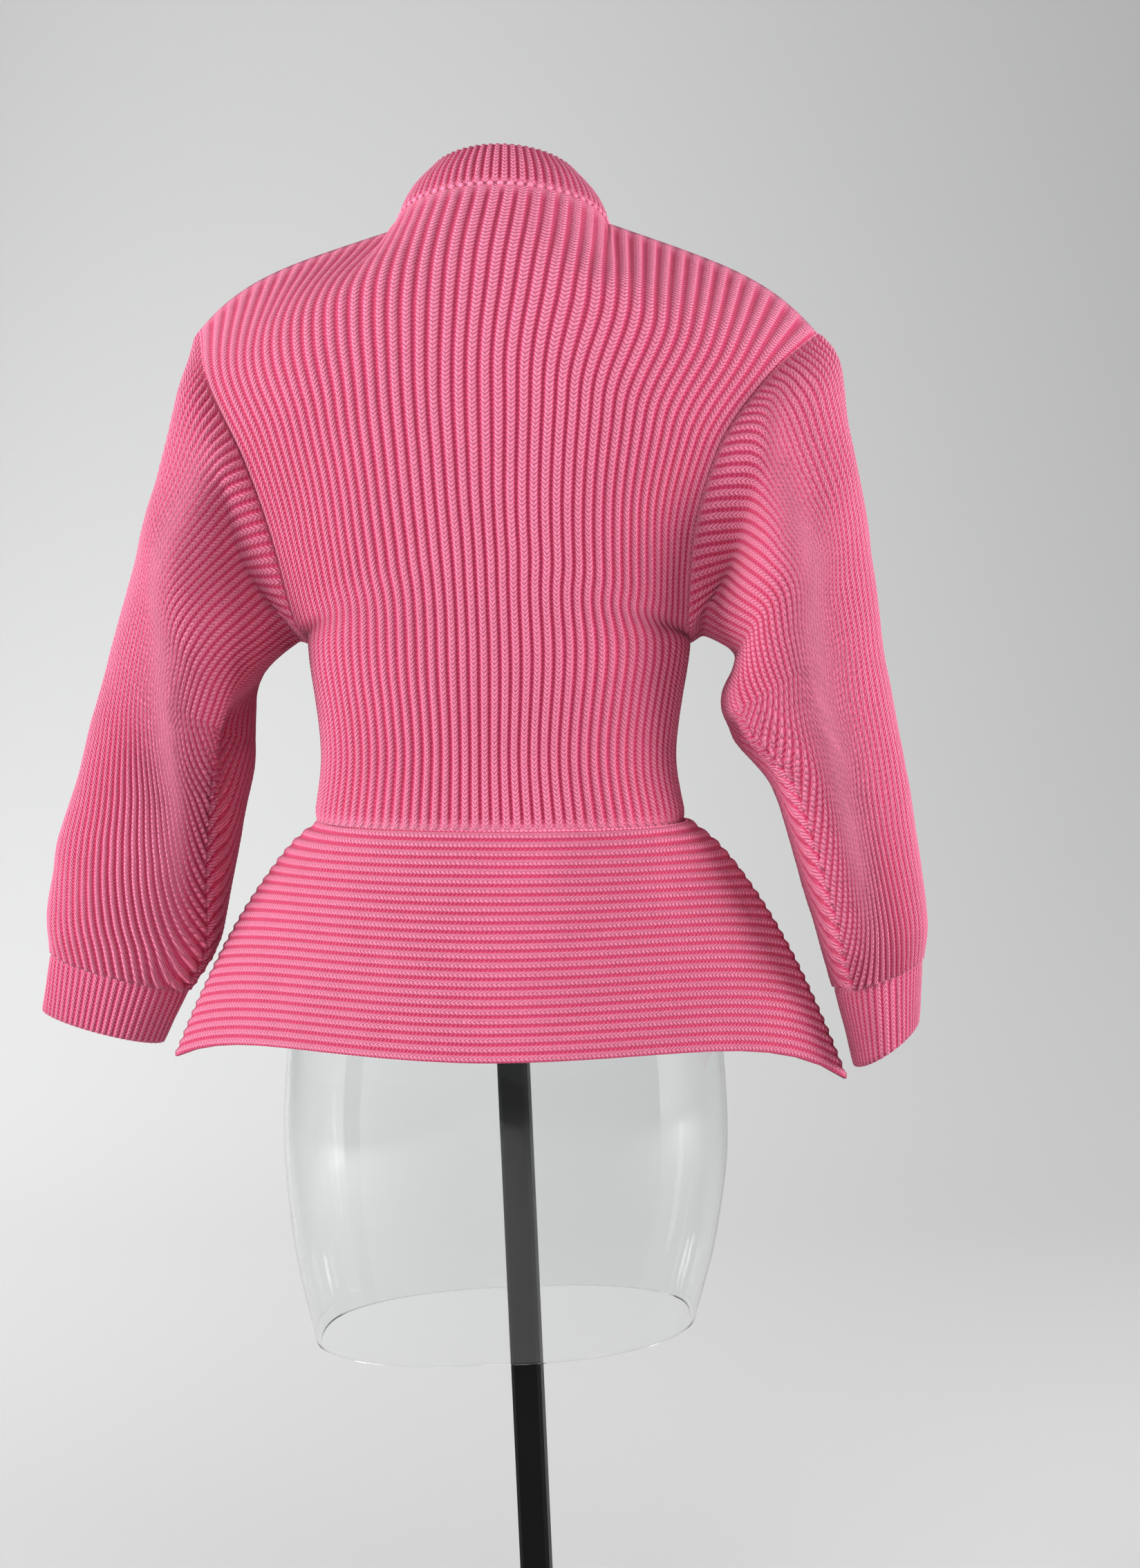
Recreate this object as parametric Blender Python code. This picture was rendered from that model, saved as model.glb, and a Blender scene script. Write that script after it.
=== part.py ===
"""A chunky-ribbed wool sweater with a flared peplum, worn by a limbless clear torso form on a pole.

The back of the garment faces -Y and its front +Y, +X is the wearer's right, +Z is up. The pole stands on
the Z axis, and the base plate's underside lies at z = 0. Sizes in the tables are millimetres.
"""
import math

import bpy
import bmesh
import numpy as np

MM = 0.001

# Cloth
WALL = 2.2                  # the cloth between its inner face and a rib's valley
RIB_HEIGHT = 2.0            # how far a rib's ridge stands above the valleys
CLOTH = WALL + RIB_HEIGHT
SEAM_GAP = 0.3              # pieces lie this far apart along a straight seam
CURVED_SEAM_GAP = 0.6       # and this far apart along the bowed armhole seams

# Ribs
BODY_RIBS = 48              # across the back, and again across the front
NECK_RIBS = 10              # of each half panel's 24 ribs, those that end at the collar
SLEEVE_RIBS = 58            # round the armhole
ENDED_RIBS = 10             # on each side of a sleeve, those that end at its inner seam
ENDING_FROM = 0.45          # the share of the sleeve's length at which the first of them ends
CUFF_RIBS = 44
COLLAR_RIBS = 54
PEPLUM_RIBS = 25            # from the waist seam down to the hem

# How finely each piece is cut into rows and columns
BODY_STEPS = 10
UNDERARM_STEP = 3           # the row at which the side seam ends and the armhole starts
PEPLUM_COLUMNS = 12
PEPLUM_INNER_STEPS = 8
INNER_RIBS = 2              # the plain inner face has one column for this many ribs
DENSE = 96                  # points on a guide curve before it is shared out evenly

# The stand
LEAN = math.radians(2.4)    # the form sits a little askew on its pole
LEAN_HEIGHT = 660.0         # the height at which the form's axis crosses the pole's
FORM_WALL = 3.0
FORM_SIDES = 24
POLE_SIZE = 21.0            # width of the square pole
POLE_EDGE = 2.5             # width of the flat on each of its corners
FLANGE_RADIUS = 32.0
FLANGE_THICK = 5.0
BASE_RADIUS = 150.0
BASE_THICK = 8.0
BASE_BEVEL = 2.0
SOCKET_SIZE = 31.0
SOCKET_EDGE = 4.0           # width of the flat on each of its corners
SOCKET_HEIGHT = 55.0

# The neck's opening is an oval in a plane that falls towards the front
NECK_HALF_WIDTH = 70.0
NECK_HALF_DEPTH = 60.0
NECK_CENTRE_Y = 6.0
NECK_SIDE_Z = 1098.0
NECK_FALL = 0.25

# The shoulder's ridge runs from the neck's side to the tip, and drops at its end
TIP_X = 213.0
TIP_Z = 1026.0
RIDGE_TILT = 0.035          # the left ridge is higher and the right one lower by this much of their run
RIDGE_SLOPE = 0.33
RIDGE_DROP_POWER = 5.0

# Body, inner face. "rise" runs from the waist seam (0) to the shoulder (1), "mid" is on the centre
# line, "side" on the side seam and, above the underarm, on the armhole seam, and "shift" moves the level
# sideways. Between them y = side_y + (mid_y - side_y) * (1 - |x / side_x| ** power) ** bow, and the height
# goes from mid_z to side_z as |x / side_x| ** LEVEL_POWER.
LEVEL_POWER = 1.6
BODY_COLUMNS = ("rise", "mid_y", "mid_z", "side_x", "side_y", "side_z", "shift", "power", "bow")
BACK_GUIDES = (
    (0.00, -89.0, 690.0, 125.5, 0.0, 690.0, -3.0, 2.15, 0.465),
    (0.12, -85.0, 736.0, 119.5, 0.0, 736.0, -4.0, 2.15, 0.465),
    (0.30, -95.0, 808.0, 128.0, 0.0, 812.0, -3.0, 2.20, 0.455),
    (0.42, -102.0, 860.0, 131.0, -38.0, 829.0, -4.0, 2.80, 0.90),
    (0.55, -107.0, 918.0, 138.0, -54.0, 876.0, -7.0, 2.80, 1.00),
    (0.70, -106.0, 985.0, 157.0, -58.0, 937.0, -9.0, 2.60, 1.00),
    (0.85, -90.0, 1052.0, 189.0, -38.0, 989.0, -6.0, 2.40, 1.00),
)
FRONT_GUIDES = (
    (0.00, 89.0, 690.0, 125.5, 0.0, 690.0, -3.0, 2.15, 0.465),
    (0.12, 86.0, 736.0, 119.5, 0.0, 736.0, -4.0, 2.15, 0.465),
    (0.30, 98.0, 806.0, 128.0, 0.0, 812.0, -3.0, 2.20, 0.455),
    (0.42, 106.0, 855.0, 131.0, 38.0, 829.0, -4.0, 2.80, 0.90),
    (0.55, 108.0, 910.0, 138.0, 54.0, 876.0, -7.0, 2.80, 1.00),
    (0.70, 99.0, 972.0, 157.0, 58.0, 937.0, -9.0, 2.60, 1.00),
    (0.85, 84.0, 1030.0, 189.0, 42.0, 989.0, -6.0, 2.40, 1.00),
)
# The armhole is about an oval seen from the side. Its cut edge faces away from the oval's middle and
# a little sideways, half way between the body's cloth and the sleeve's.
ARMHOLE_MID_Z = 917.0
ARMHOLE_HALF_HEIGHT = 104.0
ARMHOLE_HALF_DEPTH = 56.0
ARMHOLE_FLARE = 0.6

# Sleeves, outer outline. "out" is the side away from the body, "in" the side towards it, "turn" the angle
# from the inner side back to the sleeve's own seam, "own" how far the ring has left the armhole's shape.
SLEEVE_COLUMNS = ("out_x", "out_z", "in_x", "in_z", "mid_y", "half_depth", "turn", "own")
LEFT_SLEEVE = (
    (228.0, 984.0, 150.0, 811.0, -5.0, 79.0, 4.0, 0.6),
    (237.5, 925.0, 172.0, 787.0, -6.0, 80.0, 20.0, 1.0),
    (255.5, 868.0, 181.0, 763.0, -2.0, 75.0, 34.0, 1.0),
    (283.5, 788.0, 181.0, 731.0, 3.0, 69.0, 45.0, 1.0),
    (306.0, 718.0, 189.0, 690.0, 8.0, 63.0, 40.0, 1.0),
    (325.5, 663.0, 199.0, 645.0, 13.0, 58.0, 34.0, 1.0),
    (335.0, 618.0, 209.0, 602.0, 17.0, 47.0, 24.0, 1.0),
    (335.0, 593.0, 231.0, 566.0, 20.0, 35.0, 18.0, 1.0),
)
RIGHT_SLEEVE = (
    (238.0, 990.0, 146.0, 816.0, -5.0, 79.0, 4.0, 0.6),
    (239.5, 936.0, 162.0, 799.0, -6.0, 80.0, 20.0, 1.0),
    (250.5, 877.0, 156.0, 774.0, -2.0, 76.0, 34.0, 1.0),
    (261.0, 806.0, 159.0, 750.0, 3.0, 73.0, 42.0, 1.0),
    (275.0, 738.0, 183.5, 716.0, 8.0, 70.0, 42.0, 1.0),
    (286.0, 672.0, 200.0, 668.0, 13.0, 67.0, 40.0, 1.0),
    (293.0, 620.0, 215.0, 616.0, 17.0, 60.0, 36.0, 1.0),
    (291.0, 598.0, 227.0, 574.0, 20.0, 50.0, 30.0, 1.0),
)
# The sleeves' largest folds: a hollow beside each armhole, at the back and the front, and a tuck at the inner
# side of the elbow with fuller cloth above it. "down" runs from the armhole (0) to the cuff (1) and "around"
# from the sleeve's own seam round the back; "run" and "width" are how far the fold reaches each way, as the
# same shares, and "depth" is how far it moves the cloth outward, in millimetres.
FOLD_COLUMNS = ("side", "down", "around", "run", "width", "depth")
SLEEVE_FOLDS = (
    (-1, 0.11, 0.17, 0.08, 0.13, -14.0),
    (-1, 0.12, 0.76, 0.08, 0.13, -9.0),
    (-1, 0.42, 0.92, 0.14, 0.06, -9.0),
    (-1, 0.38, 0.04, 0.14, 0.07, 4.0),
    (1, 0.10, 0.17, 0.08, 0.12, -17.0),
    (1, 0.12, 0.78, 0.08, 0.13, -11.0),
    (1, 0.40, 0.12, 0.14, 0.08, 5.0),
    (1, 0.42, 0.91, 0.08, 0.10, 5.0),
)
FOLD_FADE = 8.0             # the folds fade to nothing within 1 / FOLD_FADE of the sleeve's ends

CUFF_COLUMNS = ("out_x", "out_z", "in_x", "in_z", "mid_y", "half_depth", "turn")
LEFT_CUFF = (
    (335.0, 592.7, 231.5, 565.7, 20.0, 34.0, 18.0),
    (343.5, 549.0, 252.0, 525.0, 22.0, 28.0, 14.0),
)
RIGHT_CUFF = (
    (291.0, 597.7, 227.5, 573.7, 20.0, 49.0, 30.0),
    (289.0, 552.0, 242.0, 518.0, 22.0, 47.0, 24.0),
)

# Peplum, inner face. "fall" runs from the waist seam (0) to the hem (1); "power" and "bow" shape the oval
# at the waist into the pointed lens at the hem: y = depth * (1 - |x / tip_x| ** power) ** bow. The points
# hang lower than the middle: they droop as |x / tip_x| ** DROOP_ACROSS and as fall ** DROOP_DOWN.
DROOP_ACROSS = 6.0
DROOP_DOWN = 1.5
PEPLUM_TOP = 690.0
HEM_MID_Z = 541.5
HEM_TILT = 2.5              # the hem hangs this much lower on the left and higher on the right
LEFT_TIP_Z = 522.0
RIGHT_TIP_Z = 510.0
PEPLUM_GUIDE_COLUMNS = ("fall", "tip_x", "depth", "power", "bow")
PEPLUM_GUIDES = (
    (0.00, 125.5, 89.0, 2.15, 0.465),
    (0.10, 146.0, 91.0, 2.05, 0.60),
    (0.25, 167.0, 96.0, 1.90, 0.80),
    (0.50, 194.0, 104.0, 1.80, 0.98),
    (0.75, 216.0, 110.0, 1.75, 1.06),
    (1.00, 235.5, 114.0, 1.70, 1.10),
)

# Collar, inner face: rings from the neck's opening up to the folded edge.
COLLAR_GUIDE_COLUMNS = ("lift", "half_width", "half_depth", "centre_y")
COLLAR_GUIDES = (
    (17.0, 62.5, 56.5, 6.5),
    (34.0, 48.5, 50.5, 8.0),
)

# The form, outer face: ovals from the open rim to the closed neck. "rise" tilts an oval: the rim's cut
# climbs to the right, and the shoulders stand higher on the left.
FORM_COLUMNS = ("height", "half_width", "back", "front", "square", "rise")
FORM_SECTIONS = (
    (334.0, 134.0, 92.0, 84.0, 2.3, 0.070),
    (400.0, 149.0, 100.0, 92.0, 2.3, 0.037),
    (470.0, 156.0, 103.0, 97.0, 2.2, 0.002),
    (540.0, 152.0, 100.0, 97.0, 2.2, 0.0),
    (620.0, 130.0, 88.0, 90.0, 2.2, 0.0),
    (735.0, 110.0, 76.0, 78.0, 2.2, 0.0),
    (830.0, 119.0, 84.0, 90.0, 2.2, 0.0),
    (930.0, 132.0, 94.0, 92.0, 2.2, 0.0),
    (985.0, 155.0, 84.0, 78.0, 2.1, -0.008),
    (1024.0, 170.0, 60.0, 56.0, 2.0, -0.018),
    (1049.5, 156.0, 42.0, 40.0, 2.0, -0.018),
    (1069.8, 122.0, 36.0, 36.0, 2.0, -0.011),
    (1086.5, 72.0, 38.0, 38.0, 2.0, -0.008),
    (1118.0, 44.0, 37.0, 41.0, 2.0, 0.0),
)
CREASE_DEPTH = 4.0          # the shallow crease down the back and front of the form's hips
CREASE_WIDTH = 16.0
CREASE_RUN = 260.0          # the crease fades out this far above the rim


def table(columns, rows):
    """Give the rows of a table as dictionaries by column name."""
    return [dict(zip(columns, row)) for row in rows]


def unit(vectors):
    """Scale each vector of an array to length 1."""
    lengths = np.linalg.norm(vectors, axis=-1, keepdims=True)
    return vectors / np.maximum(lengths, 1e-9)


def share_out(curve, fractions):
    """Pick points at the given fractions of a polyline's length; extra columns ride along."""
    steps = np.linalg.norm(np.diff(curve[:, :3], axis=0), axis=1)
    length = np.concatenate([[0.0], np.cumsum(steps)])
    wanted = np.asarray(fractions) * length[-1]
    return np.stack([np.interp(wanted, length, column) for column in curve.T], axis=1)


def gentle_slopes(stations, values):
    """Slopes at the guide rows that never overshoot: level wherever a value turns round or starts to move."""
    spans = np.diff(stations).reshape(-1, *[1] * (values.ndim - 1))
    secants = np.diff(values, axis=0) / spans
    before = secants[:-1]
    after = secants[1:]
    same_way = before * after > 0
    slopes = np.where(same_way, 2 * before * after / np.where(same_way, before + after, 1.0), 0.0)
    return np.concatenate([secants[:1], slopes, secants[-1:]])


def smooth_between(stations, values, wanted):
    """Interpolate whole rows of points with a smooth cubic through the guide rows."""
    stations = np.asarray(stations, dtype=float)
    values = np.asarray(values, dtype=float)
    slopes = gentle_slopes(stations, values)
    index = int(np.clip(np.searchsorted(stations, wanted, side="right") - 1, 0, len(stations) - 2))
    span = stations[index + 1] - stations[index]
    t = (wanted - stations[index]) / span
    return ((2 * t ** 3 - 3 * t ** 2 + 1) * values[index]
            + (t ** 3 - 2 * t ** 2 + t) * span * slopes[index]
            + (3 * t ** 2 - 2 * t ** 3) * values[index + 1]
            + (t ** 3 - t ** 2) * span * slopes[index + 1])


def surface_normals(grid):
    """Normals of a grid of points round the Z axis, turned away from the axis."""
    along = np.gradient(grid, axis=1)
    up = np.gradient(grid, axis=0)
    normals = unit(np.cross(along, up))
    middle = grid.shape[1] // 2
    away = np.dot(normals[0, middle, :2], grid[0, middle, :2])
    return normals if away > 0 else -normals


# Building closed walls from rows of points

class Wall:
    """Collects points and faces of one closed wall; a row is a list of (place, point number)."""

    def __init__(self):
        self.points = []
        self.faces = []

    def row(self, places, points):
        first = len(self.points)
        self.points.extend(tuple(point) for point in points)
        return [(place, first + number) for number, place in enumerate(places)]

    def stitch(self, low, high):
        """Join two rows with triangles, stepping along the row that is behind.

        Where both rows are level the shorter diagonal is taken."""
        i = 0
        j = 0
        while i < len(low) - 1 or j < len(high) - 1:
            low_next = low[i + 1][0] if i < len(low) - 1 else math.inf
            high_next = high[j + 1][0] if j < len(high) - 1 else math.inf
            step_low = low_next < high_next
            if low_next == high_next:
                from_low = math.dist(self.points[low[i][1]], self.points[high[j + 1][1]])
                to_low = math.dist(self.points[low[i + 1][1]], self.points[high[j][1]])
                step_low = to_low <= from_low
            if step_low:
                face = (low[i][1], low[i + 1][1], high[j][1])
                i += 1
            else:
                face = (low[i][1], high[j + 1][1], high[j][1])
                j += 1
            if len(set(face)) == 3:
                self.faces.append(face)

    def stitch_all(self, rows):
        for low, high in zip(rows, rows[1:]):
            self.stitch(low, high)

    def cap(self, row):
        self.faces.append(tuple(number for place, number in row[:-1]))

    def build(self, name, material, parent):
        mesh = bpy.data.meshes.new(name)
        mesh.from_pydata([[value * MM for value in point] for point in self.points], [], self.faces)
        work = bmesh.new()
        work.from_mesh(mesh)
        bmesh.ops.recalc_face_normals(work, faces=work.faces)
        work.to_mesh(mesh)
        work.free()
        mesh.materials.append(material)
        piece = bpy.data.objects.new(name, mesh)
        bpy.context.collection.objects.link(piece)
        piece.parent = parent
        return piece


def side_row(rows, column):
    """The points of one side edge of a panel, placed by their row's share of the height."""
    last = len(rows) - 1
    return [(number / last, row[column][1]) for number, row in enumerate(rows)]


def finish_panel(wall, inner, outer):
    """Close an open panel: its two faces, and the strips round its four edges."""
    wall.stitch_all(inner)
    wall.stitch_all(outer)
    wall.stitch(inner[0], outer[0])
    wall.stitch(inner[-1], outer[-1])
    wall.stitch(side_row(inner, 0), side_row(outer, 0))
    wall.stitch(side_row(inner, -1), side_row(outer, -1))


def finish_tube(wall, inner, outer):
    """Close a tube: its two faces, and the strips at its two ends."""
    wall.stitch_all(inner)
    wall.stitch_all(outer)
    wall.stitch(inner[0], outer[0])
    wall.stitch(inner[-1], outer[-1])


def rib_depth(half_rib_number):
    """Depth of the cloth at a valley (even) or a ridge (odd)."""
    return CLOTH if half_rib_number % 2 else WALL


# Body

def body_guide(row, places):
    """One guide curve across a panel, from one side to the other."""
    reach = np.sin(np.linspace(-math.pi / 2, math.pi / 2, 2 * DENSE + 1))
    inward = (1 - np.abs(reach) ** row["power"]) ** row["bow"]
    x = row["side_x"] * reach + row["shift"]
    y = row["side_y"] + (row["mid_y"] - row["side_y"]) * inward
    z = row["mid_z"] + (row["side_z"] - row["mid_z"]) * np.abs(reach) ** LEVEL_POWER
    return share_out(np.stack([x, y, z], axis=1), (np.asarray(places) + 1) / 2)


def ridge_height(x):
    """Height of the shoulder's ridge between the neck's side and the tip; x is negative on the left."""
    run = TIP_X - NECK_HALF_WIDTH
    share = (abs(x) - NECK_HALF_WIDTH) / run
    drop = NECK_SIDE_Z - RIDGE_SLOPE * run - TIP_Z
    slope = RIDGE_SLOPE + math.copysign(RIDGE_TILT, x)
    return NECK_SIDE_Z - slope * run * share - drop * share ** RIDGE_DROP_POWER


def neck_point(angle, half_width=NECK_HALF_WIDTH, half_depth=NECK_HALF_DEPTH, centre_y=NECK_CENTRE_Y):
    """A point of the neck's oval; the angle runs from the middle of the back."""
    y = centre_y - half_depth * math.cos(angle)
    return np.array([half_width * math.sin(angle), y, NECK_SIDE_Z - NECK_FALL * (y - NECK_CENTRE_Y)])


def top_line(side, places):
    """The panel's top edge: round the neck, then out along the shoulder's ridge."""
    neck_share = NECK_RIBS / (BODY_RIBS / 2)
    points = []
    for place in places:
        reach = abs(place)
        if reach <= neck_share:
            angle = math.pi / 2 * reach / neck_share
            point = neck_point(angle if side < 0 else math.pi - angle)
            point[0] = abs(point[0])
        else:
            x = NECK_HALF_WIDTH + (TIP_X - NECK_HALF_WIDTH) * (reach - neck_share) / (1 - neck_share)
            point = np.array([x, NECK_CENTRE_Y, ridge_height(math.copysign(x, place))])
        point[0] *= math.copysign(1.0, place)
        points.append(point)
    return np.array(points)


def top_line_outward(line, places):
    """Directions square to the top edge: level with the neck's plane there, upward along the ridge."""
    neck_share = NECK_RIBS / (BODY_RIBS / 2)
    directions = []
    for point, place in zip(line, places):
        if abs(place) < neck_share + 1e-6:
            outward = np.array([point[0], point[1] - NECK_CENTRE_Y, 0.0])
            outward[2] = -NECK_FALL * outward[1]
        else:
            outward = np.array([ridge_height(point[0] - 1.0) - ridge_height(point[0]), 0.0, 1.0])
        directions.append(outward)
    return unit(np.array(directions))


def armhole_outward(edge, sign):
    """Directions through the cloth along one side of an armhole; those at its ends stay in the seams."""
    across = edge[:, 1] / ARMHOLE_HALF_DEPTH ** 2
    across[[0, -1]] = 0.0
    upward = (edge[:, 2] - ARMHOLE_MID_Z) / ARMHOLE_HALF_HEIGHT ** 2
    radial = unit(np.stack([np.zeros(len(edge)), across, upward], axis=1))
    return unit(radial + np.array([sign * ARMHOLE_FLARE, 0.0, 0.0]))


def body_surface(side):
    """Points and outward directions of a body panel's inner face; side is -1 for the back."""
    places = np.linspace(-1.0, 1.0, 2 * BODY_RIBS + 1)
    guides = table(BODY_COLUMNS, BACK_GUIDES if side < 0 else FRONT_GUIDES)
    curves = [body_guide(row, places) for row in guides]
    curves.append(top_line(side, places))
    stations = [row["rise"] for row in guides] + [1.0]
    grid = np.array([smooth_between(stations, curves, step / BODY_STEPS) for step in range(BODY_STEPS + 1)])
    outward = surface_normals(grid)
    outward[0, :, 2] = 0.0
    outward[-1] = top_line_outward(grid[-1], places)
    for column in (0, -1):
        outward[:UNDERARM_STEP, column] = (places[column], 0.0, 0.0)
        outward[UNDERARM_STEP:, column] = armhole_outward(grid[UNDERARM_STEP:, column], places[column])
        grid[:UNDERARM_STEP + 1, column, 1] = side * SEAM_GAP / 2
    at_shoulder = np.abs(places) >= NECK_RIBS / (BODY_RIBS / 2) - 1e-6
    grid[-1, at_shoulder, 1] = NECK_CENTRE_Y + side * SEAM_GAP / 2
    return places, grid, unit(outward)


def body_panel(name, side, material, parent):
    places, grid, outward = body_surface(side)
    depths = np.array([rib_depth(number) for number in range(len(places))])
    neck_corner = BODY_RIBS - 2 * NECK_RIBS
    beside_corners = {neck_corner - 1, 2 * BODY_RIBS - neck_corner + 1}
    coarse = sorted(set(range(0, 2 * BODY_RIBS + 1, 2 * INNER_RIBS)) | beside_corners)
    wall = Wall()
    inner = []
    outer = []
    for step, (points, directions) in enumerate(zip(grid, outward)):
        depths[[1, -2]] = WALL if step == UNDERARM_STEP else CLOTH
        inner.append(wall.row(places[coarse], points[coarse]))
        outer.append(wall.row(places, points + directions * depths[:, None]))
    finish_panel(wall, inner, outer)
    wall.build(name, material, parent)


def armhole_edge(sign):
    """The armhole's closed edge from the underarm up the back, over the tip and down the front.

    Each row holds a point of the inner face and the direction through the cloth."""
    column = 0 if sign < 0 else -1
    rows = []
    for side in (-1, 1):
        places, grid, outward = body_surface(side)
        edge = np.hstack([grid[UNDERARM_STEP:, column], outward[UNDERARM_STEP:, column]])
        rows.append(edge if side < 0 else edge[::-1])
    edge = np.vstack(rows)
    edge[:, 3:] = unit(edge[:, 3:])
    return edge


# Sleeves and cuffs

def ring(row, sign):
    """A dense oval ring of a sleeve's inner face, from its seam round the back, outside and front."""
    outside = np.array([sign * row["out_x"], row["mid_y"], row["out_z"]])
    inside = np.array([sign * row["in_x"], row["mid_y"], row["in_z"]])
    centre = (outside + inside) / 2
    width = np.linalg.norm(inside - outside) / 2 - CLOTH
    toward_body = unit(inside - outside)
    toward_back = np.array([0.0, -1.0, 0.0])
    depth = row["half_depth"] - CLOTH
    angles = math.radians(row["turn"]) + np.linspace(0.0, 2 * math.pi, 2 * DENSE + 1)
    points = (centre + np.outer(width * np.cos(angles), toward_body)
              + np.outer(depth * np.sin(angles), toward_back))
    outward = unit(np.outer(np.cos(angles) / width, toward_body) + np.outer(np.sin(angles) / depth, toward_back))
    return np.hstack([points, outward])


def fold_depths(sign, down, fractions):
    """How far the folds move a sleeve's cloth outward at one level, at the given shares of the way round."""
    depths = np.zeros(len(fractions))
    for fold in table(FOLD_COLUMNS, SLEEVE_FOLDS):
        if fold["side"] == sign:
            beside = (fractions - fold["around"] + 0.5) % 1.0 - 0.5
            depths += fold["depth"] * np.exp(-((down - fold["down"]) / fold["run"]) ** 2
                                             - (beside / fold["width"]) ** 2)
    return depths * min(1.0, FOLD_FADE * down, FOLD_FADE * (1 - down))


def sleeve(name, sign, rows, material, parent):
    """A tube from the armhole to the cuff; ribs near its inner seam end there one after another."""
    edge = armhole_edge(sign)
    into_sleeve = unit(np.cross(np.gradient(edge[:, :3], axis=0), edge[:, 3:]))
    next_centre = ring(rows[0], sign)[:-1, :3].mean(axis=0)
    facing = np.sign(np.sum(into_sleeve * (next_centre - edge[:, :3])))
    edge[:, :3] += into_sleeve * facing * CURVED_SEAM_GAP
    edge[[0, -1], 1] = 0.0
    wall = Wall()
    inner = []
    outer = []
    steps = len(rows)
    for step in range(steps + 1):
        ended = ENDED_RIBS * max(0.0, (step / steps - ENDING_FROM) / (1 - ENDING_FROM))
        left = [rib / 2 for rib in range(2 * SLEEVE_RIBS + 1) if ended < rib / 2 < SLEEVE_RIBS - ended]
        places = [ended] + left + [SLEEVE_RIBS - ended]
        fractions = (np.array(places) - ended) / (SLEEVE_RIBS - 2 * ended)
        points = share_out(edge, fractions)
        if step:
            own = share_out(ring(rows[step - 1], sign), fractions)
            points = points + (own - points) * rows[step - 1]["own"]
        outward = unit(points[:, 3:])
        points[:, :3] += outward * fold_depths(sign, step / steps, fractions)[:, None]
        depths = np.array([rib_depth(round(2 * place)) if step else WALL for place in places])
        depths[[0, -1]] = WALL
        closed = wall.row(places[:-1], points[:-1, :3] + outward[:-1] * depths[:-1, None])
        outer.append(closed + [(places[-1], closed[0][1])])
        every = 1 if step == 0 else INNER_RIBS
        coarse = [n for n, place in enumerate(places[:-1]) if n == 0 or place % every == 0]
        closed = wall.row([places[n] for n in coarse], points[coarse, :3])
        inner.append(closed + [(places[-1], closed[0][1])])
    finish_tube(wall, inner, outer)
    wall.build(name, material, parent)


def ribbed_tube(name, rings, ribs, material, parent, flat_start=False):
    """A tube of straight ribs through rings of points and outward directions.

    With flat_start the ribs rise from nothing at the first ring, where the piece is sewn on."""
    places = np.arange(2 * ribs + 1) / 2
    wall = Wall()
    inner = []
    outer = []
    for level, dense in enumerate(rings):
        points = share_out(dense, places / ribs)
        outward = unit(points[:, 3:])
        depths = np.array([rib_depth(number) for number in range(2 * ribs)])
        if flat_start and level == 0:
            depths[:] = WALL
        closed = wall.row(places[:-1], points[:-1, :3] + outward[:-1] * depths[:, None])
        outer.append(closed + [(places[-1], closed[0][1])])
        coarse = list(range(0, 2 * ribs, 2 * INNER_RIBS))
        closed = wall.row([places[n] for n in coarse], points[coarse, :3])
        inner.append(closed + [(places[-1], closed[0][1])])
    finish_tube(wall, inner, outer)
    wall.build(name, material, parent)


def cuff(name, sign, rows, material, parent):
    ribbed_tube(name, [ring(row, sign) for row in rows], CUFF_RIBS, material, parent)


def neck_ring(half_width, half_depth, centre_y, lift):
    """A dense ring parallel to the neck's plane, lifted square to it."""
    angles = np.linspace(0.0, 2 * math.pi, 2 * DENSE + 1)
    square = unit(np.array([0.0, NECK_FALL, 1.0]))
    points = np.array([neck_point(angle, half_width, half_depth, centre_y) for angle in angles])
    outward = points - np.array([0.0, centre_y, 0.0])
    outward = np.stack([outward[:, 0] / half_width ** 2, outward[:, 1] / half_depth ** 2,
                        -NECK_FALL * outward[:, 1] / half_depth ** 2], axis=1)
    return np.hstack([points + square * lift, unit(outward)])


def collar(material, parent):
    rings = [neck_ring(NECK_HALF_WIDTH, NECK_HALF_DEPTH, NECK_CENTRE_Y, SEAM_GAP)]
    for row in table(COLLAR_GUIDE_COLUMNS, COLLAR_GUIDES):
        rings.append(neck_ring(row["half_width"], row["half_depth"], row["centre_y"], row["lift"]))
    ribbed_tube("collar", rings, COLLAR_RIBS, material, parent, flat_start=True)


# Peplum

def peplum_curve(fall, side, places):
    """One level of a peplum panel's inner face, from the left side seam to the right one."""
    guides = table(PEPLUM_GUIDE_COLUMNS, PEPLUM_GUIDES)
    stations = [row["fall"] for row in guides]
    values = [[row[column] for column in PEPLUM_GUIDE_COLUMNS[1:]] for row in guides]
    tip_x, depth, power, bow = smooth_between(stations, values, fall)
    reach = np.sin(np.linspace(-math.pi / 2, math.pi / 2, 2 * DENSE + 1))
    y = side * depth * (1 - np.abs(reach) ** power) ** bow
    mid_z = PEPLUM_TOP - SEAM_GAP - fall * (PEPLUM_TOP - SEAM_GAP - HEM_MID_Z)
    tip_z = np.where(reach < 0, LEFT_TIP_Z, RIGHT_TIP_Z)
    droop = fall ** DROOP_DOWN * (HEM_MID_Z - tip_z) * np.abs(reach) ** DROOP_ACROSS
    droop -= fall * HEM_TILT * reach
    curve = share_out(np.stack([tip_x * reach, y, mid_z - droop], axis=1), (np.asarray(places) + 1) / 2)
    curve[[0, -1], 1] = side * SEAM_GAP / 2
    return curve


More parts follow.
